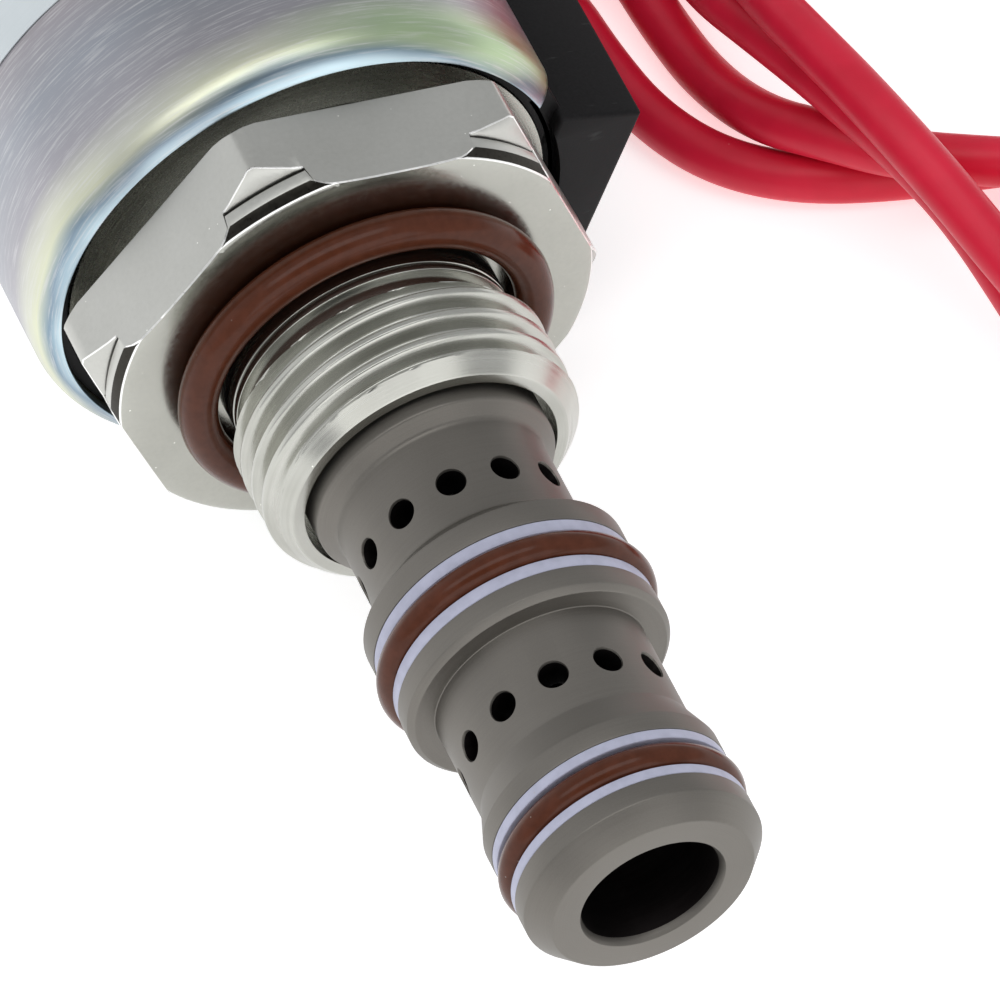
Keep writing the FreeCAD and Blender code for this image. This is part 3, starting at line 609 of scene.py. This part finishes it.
def make_cage():
    """The cage, turned, with its two rows of drilled ports; the bore past its mouth and the ports'
    walls are painted near black as shade.
    """
    mesh = make_mesh("cage_sleeve", [lathe(rounded(CAGE_OUTLINE))])
    piece = bpy.data.objects.new("cage_sleeve", mesh)
    bpy.context.collection.objects.link(piece)
    cutters = [
        hole_cutter(station, HOLE_TURN + math.tau * step / HOLE_COUNT)
        for station in HOLE_STATIONS
        for step in range(HOLE_COUNT)
    ]
    cut(piece, make_mesh("drills", cutters))

    # The bore past its mouth and the ports' walls take the painted shade.
    def inside(face):
        radius, station = cylindrical(face.center)
        if radius < 4.2 and station > MOUTH_DEPTH:
            return 1
        in_wall = radius < 6.2 and any(abs(station - hole) < HOLE_RADIUS for hole in HOLE_STATIONS)
        return 1 if in_wall else 0

    dress(piece, [CAGE_STEEL, BORE_PAINTED_SHADE], ["cage"], inside)


def make_o_ring(name, node, radius, station, cord, material):
    """An O-ring with the faint flash line of its mould inside and outside."""
    section = []
    for step in range(36):
        turn = math.tau * step / 36
        flash = 0.012 * math.exp(-((math.sin(turn)) / 0.10) ** 2)
        size = cord + flash
        section.append((radius + size * math.cos(turn), station + size * math.sin(turn)))
    make_piece(name, [lathe(section)], [material], [node])


def make_backup(name, node, inner, outer, start, end):
    """A flat backup ring with eased outer edges."""
    outline = [(inner, start), (outer, start, 0.09), (outer, end, 0.09), (inner, end)]
    make_piece(name, [lathe(rounded(outline))], [PTFE], [node])


make_cage()
make_o_ring("nose_seal", "nose_o_ring", 6.45, 4.17, 0.89, BROWN_RUBBER)
make_o_ring("middle_seal", "middle_o_ring", 7.52, 18.79, 0.89, BROWN_RUBBER)
make_o_ring("hex_seal", "hex_o_ring", 10.3, 40.44, 1.15, BROWN_RUBBER)
make_backup("nose_ring_front", "nose_backup_front", 5.60, 7.06, 2.60, 3.26)
make_backup("nose_ring_rear", "nose_backup_rear", 5.60, 7.06, 5.14, 5.80)
make_backup("middle_ring_front", "middle_backup_front", 6.66, 7.88, 17.05, 17.87)
make_backup("middle_ring_rear", "middle_backup_rear", 6.66, 7.88, 19.68, 20.50)


# Adapter ----------------------------------------------------------------------------------

THREAD_CREST = 9.525
THREAD_DEPTH = 0.905
THREAD_PITCH = 1.5875
THREAD_NECK = 8.2
THREAD_FRONT = 31.1
THREAD_STEP = 0.05
THREAD_STEPS = 139


def thread_radius(station, angle):
    """The thread's surface, with a rounded crest and root, cut off by its lead-in and runout."""
    phase = (station - 31.95) / THREAD_PITCH + angle / math.tau
    away = abs(phase - round(phase))
    fall = min(max((away - 0.07) / 0.38, 0.0), 1.0)
    groove = THREAD_CREST - THREAD_DEPTH * fall * fall * (3 - 2 * fall)
    lead_in = 8.35 + (station - 31.0) * 1.02
    runout = THREAD_CREST - (station - 37.25) * 1.7
    return min(groove, lead_in, runout)


def make_thread():
    """The threaded stem, from its open front to the neck behind the undercut."""
    front = rounded([(7.67, 33.4), (7.67, 31.0, 0.05), (8.35, 31.0, 0.06), (9.0, 31.65)])[:-1]
    rear = rounded([
        (8.20, 38.0), (8.20, 38.95), (8.55, 38.95, 0.07), (8.55, 39.34, 0.04), (8.46, 39.38),
        (8.46, 39.48), (8.55, 39.52, 0.04), (8.55, 41.8), (6.75, 41.8), (6.75, 33.4),
    ])
    fine = [THREAD_FRONT + THREAD_STEP * step for step in range(THREAD_STEPS)]
    size = len(front) + len(fine) + len(rear)
    vertices = []
    for column in range(SEGMENTS):
        angle = math.tau * column / SEGMENTS
        outline = front + [
            (max(thread_radius(station, angle), THREAD_NECK), station) for station in fine
        ] + rear
        vertices += [at(radius, station, angle) for radius, station in outline]
    shape = (vertices, ring_shape(SEGMENTS, size))
    make_piece("adapter_thread", [shape], [THREAD_PLATING], ["hex_adapter"])


def crossing(outline, limit):
    """An outline cut off where it first passes a radius, its later points drawn to that place."""
    cut_off, kept = None, []
    for before, point in zip([outline[0]] + outline, outline):
        if cut_off is None and point[0] > limit:
            share = (limit - before[0]) / (point[0] - before[0])
            cut_off = (limit, before[1] + (point[1] - before[1]) * share)
        kept.append(cut_off or point)
    return kept, cut_off


def hexagon_columns(flats, radii):
    """Angles round a hexagon, closer together where its sides pass each of some radii."""
    half = math.tau / 12
    inside = {math.acos(flats / 2 / radius) for radius in radii}
    inside |= {half * step / 12 for step in range(12)}
    side = sorted({round(angle, 7) for angle in inside if angle < half - 0.004})
    side = [-angle for angle in side[:0:-1]] + side
    return [(turn, angle) for turn in range(6) for angle in side]


def hexagon_shape(flats, corner, corner_angle, front, rear, closing, edge, jitter, seed):
    """A hexagon whose corners are turned off by front and rear outlines that start inside."""
    draw = random.Random(seed)
    radii = [radius + more for radius, _ in front for more in (-0.002, 0.002)]
    columns = hexagon_columns(flats, [r for r in radii if flats / 2 < r < corner] + [corner])
    vertices = []
    for turn, from_middle in columns:
        angle = corner_angle + math.tau * (turn + 0.5) / 6 + from_middle
        limit = min(flats / 2 / math.cos(from_middle), corner)
        fore, start = crossing(front, limit - edge)
        aft, end = crossing(rear, limit - edge)
        wander = jitter * draw.uniform(-1, 1)
        span = end[1] - start[1]
        middle = [(limit, start[1] + edge * 1.3 + wander)]
        middle += [(limit, start[1] + span * share) for share in (0.3, 0.7)]
        middle += [(limit, end[1] - edge)]
        outline = fore + middle + aft[::-1] + closing
        vertices += [at(radius, station, angle) for radius, station in outline]
    return vertices, ring_shape(len(columns), len(outline))


HEX_FLATS = 27.96
HEX_CORNER = math.radians(42.7)
HEX_ROUND = 16.04
HEX_EDGE = 0.07


def hexagon_finish_and_painted_light(face):
    """Glossy washer face, step and groove painted dark as shade, satin flats and corners, edges
    painted bright as highlight.
    """
    radius, station = cylindrical(face.center)
    normal = face.normal
    if normal.y < -0.9 and station < 41.8:
        return 1
    if radius < 13.8 or station > 46.4:
        return 0
    angle = math.atan2(face.center.z - AXIS_Z, face.center.x - AXIS_X) - HEX_CORNER
    from_middle = (angle % (math.tau / 6)) - math.tau / 12
    gap = min(HEX_FLATS / 2 / math.cos(from_middle), HEX_ROUND) - radius
    if gap < 0.015:
        return 0
    # The narrow chamfers along the flats' edges take the painted highlight.
    if gap < HEX_EDGE * 0.9 and abs(normal.y) < 0.95:
        return 3
    # The line beside the washer face takes the painted highlight; the chamfer band behind it and
    # the groove take the painted shade.
    if station < 42.38:
        return 3 if station < 41.83 else 2
    return 2 if 43.16 < station < 43.34 and radius < 14.95 else 0


def make_hexagon():
    """The hexagon, with its washer face, its step and groove painted dark as shade, its edges
    painted bright as highlight, and its turned corners.
    """
    front = [
        (8.40, 41.63), (11.5, 41.63), (12.9, 41.63), (13.6, 41.65), (14.1, 41.70),
        (14.42, 41.78), (14.52, 41.85), (14.77, 42.35),
        (14.80, 42.40), (14.80, 43.16), (14.64, 43.20), (14.64, 43.34), (14.92, 43.38),
        (16.6, 44.42),
    ]
    rear = [(11.5, 47.23), (15.5, 47.23), (16.6, 46.45)]
    closing = [
        (11.5, 49.10), (11.4, 49.2), (6.3, 49.2), (6.3, 43.2), (8.0, 43.2),
    ]
    shape = hexagon_shape(
        HEX_FLATS, HEX_ROUND, HEX_CORNER, front, rear, closing, HEX_EDGE, 0.02, 7)
    materials = [HEX_SATIN, HEX_GLOSS, STEP_PAINTED_SHADE, EDGE_PAINTED_HIGHLIGHT]
    make_piece(
        "adapter_hexagon", [shape], materials, ["hex_adapter"], hexagon_finish_and_painted_light)


make_thread()
make_hexagon()


# Coil -------------------------------------------------------------------------------------

SLOT_HALF = math.radians(43.4)
FILL_HALF = math.radians(42.9)
CAN_RADIUS = 16.7
BLOCK_FRONT, BLOCK_REAR = 48.5, 79.6
BLOCK_HALF = 9.5
# The block's corners across the axis: out from it, and aside along the block's face.
BLOCK_OUTLINE = [
    (13.0, -BLOCK_HALF), (18.4, -BLOCK_HALF), (18.4, BLOCK_HALF), (13.0, BLOCK_HALF),
]
# Faces between two rings of four corners.
BOX_FACES = [(0, 1, 2, 3), (4, 5, 6, 7)] + [
    (corner, (corner + 1) % 4, (corner + 1) % 4 + 4, corner + 4) for corner in range(4)
]


def wedge(half_angle, reach, start, end):
    """A wedge-shaped block about the lead block's direction, for cutting the can's slot."""
    vertices = []
    for station in (start, end):
        vertices.append(at(0, station, 0))
        for angle in (-half_angle, 0, half_angle):
            radius = reach / math.cos(angle if angle else half_angle)
            vertices.append(at(radius, station, BLOCK_TURN + angle))
    return vertices, BOX_FACES


def make_can():
    """The can's shell, from its rolled rim to its flat back, with the lead block's slot."""
    rim = arc(14.1, 50.725, 2.6, -60.6, 0, 22)
    back = arc(15.5, 85.0, 1.2, 0, 90, 8)
    side = [(CAN_RADIUS, station) for station in (55.0, 60.0, 70.0, 80.0)]
    outline = rim + side + back + [
        (14.0, 86.2), (10.0, 86.2), (6.35, 86.2), (6.35, 85.2), (15.38, 85.2), (15.38, 70.0),
        (15.38, 49.4), (15.34, 48.56), (15.36, 48.50),
    ]
    mesh = make_mesh("can_shell", [lathe(outline, 256)])
    piece = bpy.data.objects.new("can_shell", mesh)
    bpy.context.collection.objects.link(piece)
    cut(piece, make_mesh("slot", [wedge(SLOT_HALF, 24.0, 46.0, 80.0)]))
    soften(piece, 0.09, 40.0)
    dress(piece, [CAN_PLATING], ["coil_can"])


def block_point(out, aside, station):
    """A point so far out towards the lead block, and so far aside along its face."""
    radius = math.hypot(out, aside)
    return at(radius, station, BLOCK_TURN + math.atan2(aside, out))


def make_block():
    """The moulded lead block, hollowed in front where the can's mouth is."""
    vertices = [
        block_point(out, aside, station)
        for station in (BLOCK_FRONT, BLOCK_REAR)
        for out, aside in BLOCK_OUTLINE
    ]
    piece = bpy.data.objects.new("lead_block", make_mesh("lead_block", [(vertices, BOX_FACES)]))
    bpy.context.collection.objects.link(piece)
    soften(piece, 0.28, 35.0, 3)
    mouth = lathe([(0.01, 40.0), (15.38, 40.0), (15.38, 49.35), (0.01, 49.35)])
    cut(piece, make_mesh("mouth", [mouth]))
    dress(piece, [MOULDED_BLACK], ["coil_moulding"])


def make_moulding():
    """The moulding inside the can, its filling of the slot, and the lead block."""
    ring = rounded([
        (14.65, 49.35, 0.05), (15.33, 49.35, 0.08), (15.33, 85.15), (14.65, 85.15), (14.65, 83.0),
        (12.45, 83.0), (12.45, 51.25), (14.65, 51.25),
    ])
    fill = rounded([
        (15.0, 49.35), (16.35, 49.35, 0.15), (16.35, BLOCK_REAR, 0.15), (15.0, BLOCK_REAR),
    ])
    make_piece(
        "coil_overmould",
        [lathe(ring), lathe(fill, 64, BLOCK_TURN - FILL_HALF, 2 * FILL_HALF)],
        [MOULDED_BLACK], ["coil_moulding"],
    )
    make_block()


def make_label():
    """A plain silvered film label round part of the can."""
    outline = [(16.725, 61.0), (16.80, 61.0), (16.82, 61.05), (16.82, 80.95), (16.80, 81.0),
               (16.725, 81.0)]
    make_piece(
        "label", [lathe(outline, 96, math.radians(82), math.radians(120))],
        [LABEL_FILM], ["coil_label"],
    )


def make_nut():
    """The retaining nut and its flange."""
    front = [(6.35, 87.5), (9.0, 87.45), (9.9, 87.5), (10.2, 87.5), (12.0, 87.5)]
    rear = [(6.8, 92.6), (9.3, 92.6), (11.6, 91.6)]
    closing = [(6.3, 92.2), (6.3, 88.0)]
    prism = hexagon_shape(
        19.05, 10.85, math.radians(30), front, rear, closing, 0.06, 0.01, 11)
    flange = rounded([
        (8.7, 87.7), (8.7, 86.2, 0.1), (10.2, 86.2, 0.25), (10.2, 87.5, 0.25), (9.3, 87.7),
    ])
    make_piece(
        "retaining_nut", [prism, lathe(flange)], [NUT_PLATING], ["coil_nut"])


make_can()
make_moulding()
make_label()
make_nut()
make_o_ring("nut_seal", "nut_o_ring", 7.5, 86.95, 0.72, BLACK_RUBBER)


# Lead wires -------------------------------------------------------------------------------

LEAD_RADIUS = 1.5
STORE_CENTRE = (44.0, 39.0)
TURN_PITCH = 3.08
POINTS_PER_TURN = 16
CURL_STEP = 22
STORED_END_BACK = 3.5
STORED_END_ASIDE = 4.6

LOWER_LEAD_ROUTE = [
    (12.26, 28.0, 4.04), (16.0, 28.0, 2.2), (19.2, 26.0, 1.5), (21.0, 22.5, 1.5),
    (21.3, 17.5, 1.5), (22.1, 12.3, 1.5), (24.3, 7.5, 1.5), (28.1, 3.9, 1.5),
    (33.6, 1.3, 1.5), (39.8, -0.6, 1.5), (47.1, -3.6, 1.5), (53.3, -9.7, 1.5),
    (53.9, -17.9, 1.5), (47.0, -24.8, 1.5), (39.8, -25.2, 1.5), (36.2, -19.3, 2.0),
    (35.6, -12.3, 3.6), (34.7, -5.8, 5.8), (33.1, -1.5, 7.6), (31.8, 2.1, 8.1),
    (30.7, 6.6, 7.4), (29.5, 11.3, 6.5), (28.2, 16.0, 5.7), (28.8, 20.7, 2.4),
]
UPPER_LEAD_ROUTE = [
    (15.15, 28.0, 9.86), (19.2, 28.0, 7.85), (23.0, 26.4, 5.0), (25.3, 22.8, 2.5),
    (25.7, 17.9, 1.6), (26.3, 12.9, 1.7), (27.6, 7.5, 3.5), (30.2, 3.8, 4.7),
    (33.2, 0.5, 4.9), (37.8, -2.5, 4.9), (43.8, -5.0, 3.6), (48.6, -9.2, 1.9),
    (49.4, -15.2, 1.6), (44.5, -20.5, 2.7), (38.3, -20.3, 4.5), (36.1, -14.9, 6.2),
    (34.9, -10.3, 7.7), (33.8, -6.1, 9.2), (32.7, -2.5, 10.5), (31.7, 1.5, 11.1),
    (30.8, 5.6, 11.0), (30.0, 10.4, 10.2), (29.7, 17.0, 8.4),
]


def spiral(start, sweep, outer, height):
    """Points of a flat clockwise spiral about the stored turns' centre."""
    count = round(sweep / 360 * POINTS_PER_TURN)
    points = []
    for step in range(count + 1):
        turned = sweep * step / count
        angle = math.radians(start - turned)
        radius = outer - TURN_PITCH * turned / 360
        points.append((
            STORE_CENTRE[0] + radius * math.cos(angle),
            STORE_CENTRE[1] + radius * math.sin(angle),
            height,
        ))
    return points


def curl(start, radii, heights):
    """The last points of a lead, curling in from the turns to its stripped end."""
    points = []
    for index, (radius, height) in enumerate(zip(radii, heights)):
        angle = math.radians(start - CURL_STEP * index)
        points.append((
            STORE_CENTRE[0] + radius * math.cos(angle),
            STORE_CENTRE[1] + radius * math.sin(angle),
            height,
        ))
    return points


def stored_end(side):
    """Where a lead's jacket ends, on one side of the stored turns' centre."""
    return (
        STORE_CENTRE[0] - side * STORED_END_BACK,
        STORE_CENTRE[1] + side * STORED_END_ASIDE,
        LEAD_RADIUS,
    )


def make_lead(name, route, node):
    """One lead on one smooth curve, from its exit through the stored turns to its end."""
    curve = bpy.data.curves.new(name, "CURVE")
    curve.dimensions = "3D"
    curve.bevel_depth = LEAD_RADIUS * MM
    curve.bevel_resolution = 10
    curve.resolution_u = 10
    curve.use_fill_caps = True
    curve.materials.append(LEAD_JACKET)
    spline = curve.splines.new("NURBS")
    spline.points.add(len(route) - 1)
    for point, (x, y, z) in zip(spline.points, route):
        point.co = (x * MM, y * MM, z * MM, 1)
    spline.order_u = 3
    spline.use_endpoint_u = True
    lead = bpy.data.objects.new(name, curve)
    bpy.context.collection.objects.link(lead)
    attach(lead, ROOT)
    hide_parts(node, "lead_coil")
    return lead


def make_boot(name, route):
    """A short tapered boot, moulded with the block, where a lead leaves it."""
    start = Vector(route[0])
    onward = (Vector(route[1]) - start).normalized()
    aside = onward.orthogonal().normalized()
    beside = onward.cross(aside)
    count = 40
    outline = [
        (-0.5, 2.35), (0.0, 2.35), (0.5, 2.25), (1.0, 2.12), (1.5, 2.06), (2.5, 1.92),
        (3.4, 1.78), (3.7, 1.70), (3.75, 1.45),
    ]
    vertices = []
    for along, radius in outline:
        for step in range(count):
            turn = math.tau * step / count
            vertices.append((
                start + onward * along + (aside * math.cos(turn) + beside * math.sin(turn)) * radius
            ) * MM)
    shape = (vertices, tube(len(outline), count))
    make_piece(name, [shape], [MOULDED_BLACK], ["coil_moulding"])


def make_stripped_end(name, node, side):
    """Seven tinned strands, twisted together, that come out of the jacket."""
    start = Vector(stored_end(side))
    onward = Vector((side, 0, 0))
    aside = Vector((0, 1, 0))
    up = Vector((0, 0, 1))
    strand_radius = 0.26
    count, rings = 10, 36
    shapes = []
    for strand in range(7):
        vertices = []
        for ring in range(rings + 1):
            share = ring / rings
            turn = math.tau * (strand / 6 + share * 1.6)
            lay = 0.53 if strand < 6 else 0.0
            centre = start + onward * (-0.3 + 7.2 * share) + (
                aside * math.cos(turn) + up * math.sin(turn)) * lay
            for step in range(count):
                around = math.tau * step / count
                vertices.append((centre + (
                    aside * math.cos(around) + up * math.sin(around)) * strand_radius) * MM)
        shapes.append((vertices, tube(rings + 1, count)))
    make_piece(name, shapes, [TIN], [node])


def make_tie():
    """A thin flat tie round the stored turns."""
    inner, outer, slack = 8.3, 21.9, 0.3
    middle = (inner + outer) / 2
    half_width = (outer - inner) / 2 + slack
    height = 6.5
    strap_thickness, half_strap = 0.42, 1.5
    angle = math.radians(-50.0)
    out = Vector((math.cos(angle), math.sin(angle), 0))
    aside = Vector((-math.sin(angle), math.cos(angle), 0))
    centre = Vector((*STORE_CENTRE, 0))
    count = 64
    vertices, faces = [], []
    for step in range(count):
        turn = math.tau * step / count
        across, rise = math.cos(turn), math.sin(turn)
        squareness = (abs(across) ** 5 + abs(rise) ** 5) ** (-1 / 5)
        for thickness in (0.0, strap_thickness):
            for width in (-half_strap, half_strap):
                vertices.append((centre + out * (
                    middle + (half_width - thickness) * across * squareness
                ) + Vector((0, 0, 1)) * (
                    height / 2 + (height / 2 - thickness) * rise * squareness
                ) + aside * width) * MM)
    for step in range(count):
        one, two = step * 4, (step + 1) % count * 4
        for low, high in ((0, 1), (1, 3), (3, 2), (2, 0)):
            faces.append((one + low, one + high, two + high, two + low))
    make_piece("stored_tie", [(vertices, faces)], [BLACK_NYLON], ["lead_tie"])


lower_route = LOWER_LEAD_ROUTE + spiral(212.9, 1080.0, 20.2, 1.5) + curl(
    190.9, (10.2, 8.8, 7.2, 6.0), (1.5, 1.5, 1.5, 1.5)) + [stored_end(1)]
upper_route = UPPER_LEAD_ROUTE + spiral(216.0, 1250.0, 20.2, 4.5) + curl(
    -1056.0, (8.9, 8.1, 7.0, 6.0), (4.3, 3.4, 2.2, 1.5)) + [stored_end(-1)]
lower_lead = make_lead("lower_lead_wire", lower_route, "lower_lead")
upper_lead = make_lead("upper_lead_wire", upper_route, "upper_lead")
make_boot("lower_boot", lower_route)
make_boot("upper_boot", upper_route)
make_stripped_end("lower_strands", "lower_lead_end", 1)
make_stripped_end("upper_strands", "upper_lead_end", -1)
make_tie()


# Return spring ----------------------------------------------------------------------------

def make_spring():
    """The return spring, built at one length, though the real one shortens as the armature pulls
    in.
    """
    first, last = 63.0, 77.0
    wire, radius, turns = 0.3, 2.1, 7.0
    rings, count = 320, 12
    vertices = []
    for ring in range(rings + 1):
        share = ring / rings
        angle = math.tau * turns * share
        station = first + wire + (last - first - 2 * wire) * share
        for step in range(count):
            turn = math.tau * step / count
            vertices.append(at(
                radius + wire * math.cos(turn), station + wire * math.sin(turn), angle))
    shape = (vertices, tube(rings + 1, count))
    spring = make_piece("spring_coils", [shape], [STAINLESS], ["return_spring"])
    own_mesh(spring)


make_spring()


# Finishes of the parts that keep their CAD shapes -------------------------------------------

FINISHES = {
    "guide_tube": STAINLESS,
    "armature": SOFT_IRON,
    "push_link": STAINLESS,
    "pole_piece": SOFT_IRON,
    "residual_shim": BRASS,
    "spool": GROUND_STEEL,
    "front_flux_washer": DARK_STEEL,
    "rear_flux_washer": ZINC,
    "bobbin": BOBBIN_NYLON,
    "winding": COPPER,
    "lead_crimps": TIN,
}
for node, material in FINISHES.items():
    for piece in bpy.data.objects:
        if piece.type == "MESH" and piece.name.split(".")[0] == node:
            for slot in piece.material_slots:
                slot.material = material


# Floor and light ---------------------------------------------------------------------------

def make_floor():
    """A plain pale floor."""
    vertices = [(-2, -2, 0), (2, -2, 0), (2, 2, 0), (-2, 2, 0)]
    mesh = bpy.data.meshes.new("floor")
    mesh.from_pydata(vertices, [], [(0, 1, 2, 3)])
    floor = bpy.data.objects.new("floor", mesh)
    bpy.context.collection.objects.link(floor)
    look = Look("floor_paper", {
        "Specular IOR Level": 0.1, "Emission Color": (1, 1, 1, 1), "Emission Strength": 0.55,
    })
    paper = look.noise(look.place(), 0.02, 2.0)
    tone = look.ramp(paper, [(0.0, (0.93, 0.93, 0.93)), (1.0, (0.95, 0.95, 0.95))])
    floor.data.materials.append(look.finish(tone, look.spread(paper, 0.0, 1.0, 0.8, 0.9)))


def softbox(name, place, tilt, size, radiance):
    """An area light of an even brightness, facing down, tilted about X towards +Y."""
    light = bpy.data.lights.new(name, "AREA")
    light.shape = "RECTANGLE"
    light.size, light.size_y = size
    light.energy = radiance * math.pi * size[0] * size[1]
    box = bpy.data.objects.new(name, light)
    box.location = place
    box.rotation_euler = (math.radians(tilt), 0, 0)
    bpy.context.collection.objects.link(box)


def make_surroundings():
    """A pale room, brighter to the left and dim where the camera would stand."""
    world = bpy.data.worlds.new("studio")
    world.use_nodes = True
    nodes, links = world.node_tree.nodes, world.node_tree.links
    direction = nodes.new("ShaderNodeTexCoord").outputs["Generated"]

    def towards(aim, low, high, to_low, to_high):
        dot = nodes.new("ShaderNodeVectorMath")
        dot.operation = "DOT_PRODUCT"
        links.new(direction, dot.inputs[0])
        dot.inputs[1].default_value = Vector(aim).normalized()
        spread = nodes.new("ShaderNodeMapRange")
        spread.interpolation_type = "SMOOTHSTEP"
        links.new(dot.outputs["Value"], spread.inputs[0])
        for index, value in enumerate((low, high, to_low, to_high)):
            spread.inputs[index + 1].default_value = value
        return spread.outputs[0]

    def combine(operation, first, second):
        node = nodes.new("ShaderNodeMath")
        node.operation = operation
        for index, value in enumerate((first, second)):
            if isinstance(value, bpy.types.NodeSocket):
                links.new(value, node.inputs[index])
            else:
                node.inputs[index].default_value = value
        return node.outputs[0]

    bright = combine("ADD", 0.60, towards((-0.8, 0.5, 0.15), 0.55, 0.95, 0.0, 0.40))
    dim = towards((-0.14, -0.56, 0.82), 0.90, 0.975, 1.0, 0.12)
    level = combine("MULTIPLY", bright, dim)
    seen = nodes.new("ShaderNodeLightPath").outputs["Is Camera Ray"]
    links.new(combine("MAXIMUM", level, seen), nodes["Background"].inputs["Strength"])
    nodes["Background"].inputs["Color"].default_value = (0.97, 0.98, 1.0, 1)
    bpy.context.scene.world = world


def make_studio():
    """The room's light, and two softboxes."""
    make_surroundings()
    softbox("overhead", (-0.10, -0.14, 1.1), 0, (1.5, 0.42), 1.9)
    softbox("front", (0.0, -1.0, 0.42), 68, (1.5, 0.6), 1.2)


make_floor()
make_studio()
bpy.context.scene.view_settings.view_transform = "Standard"
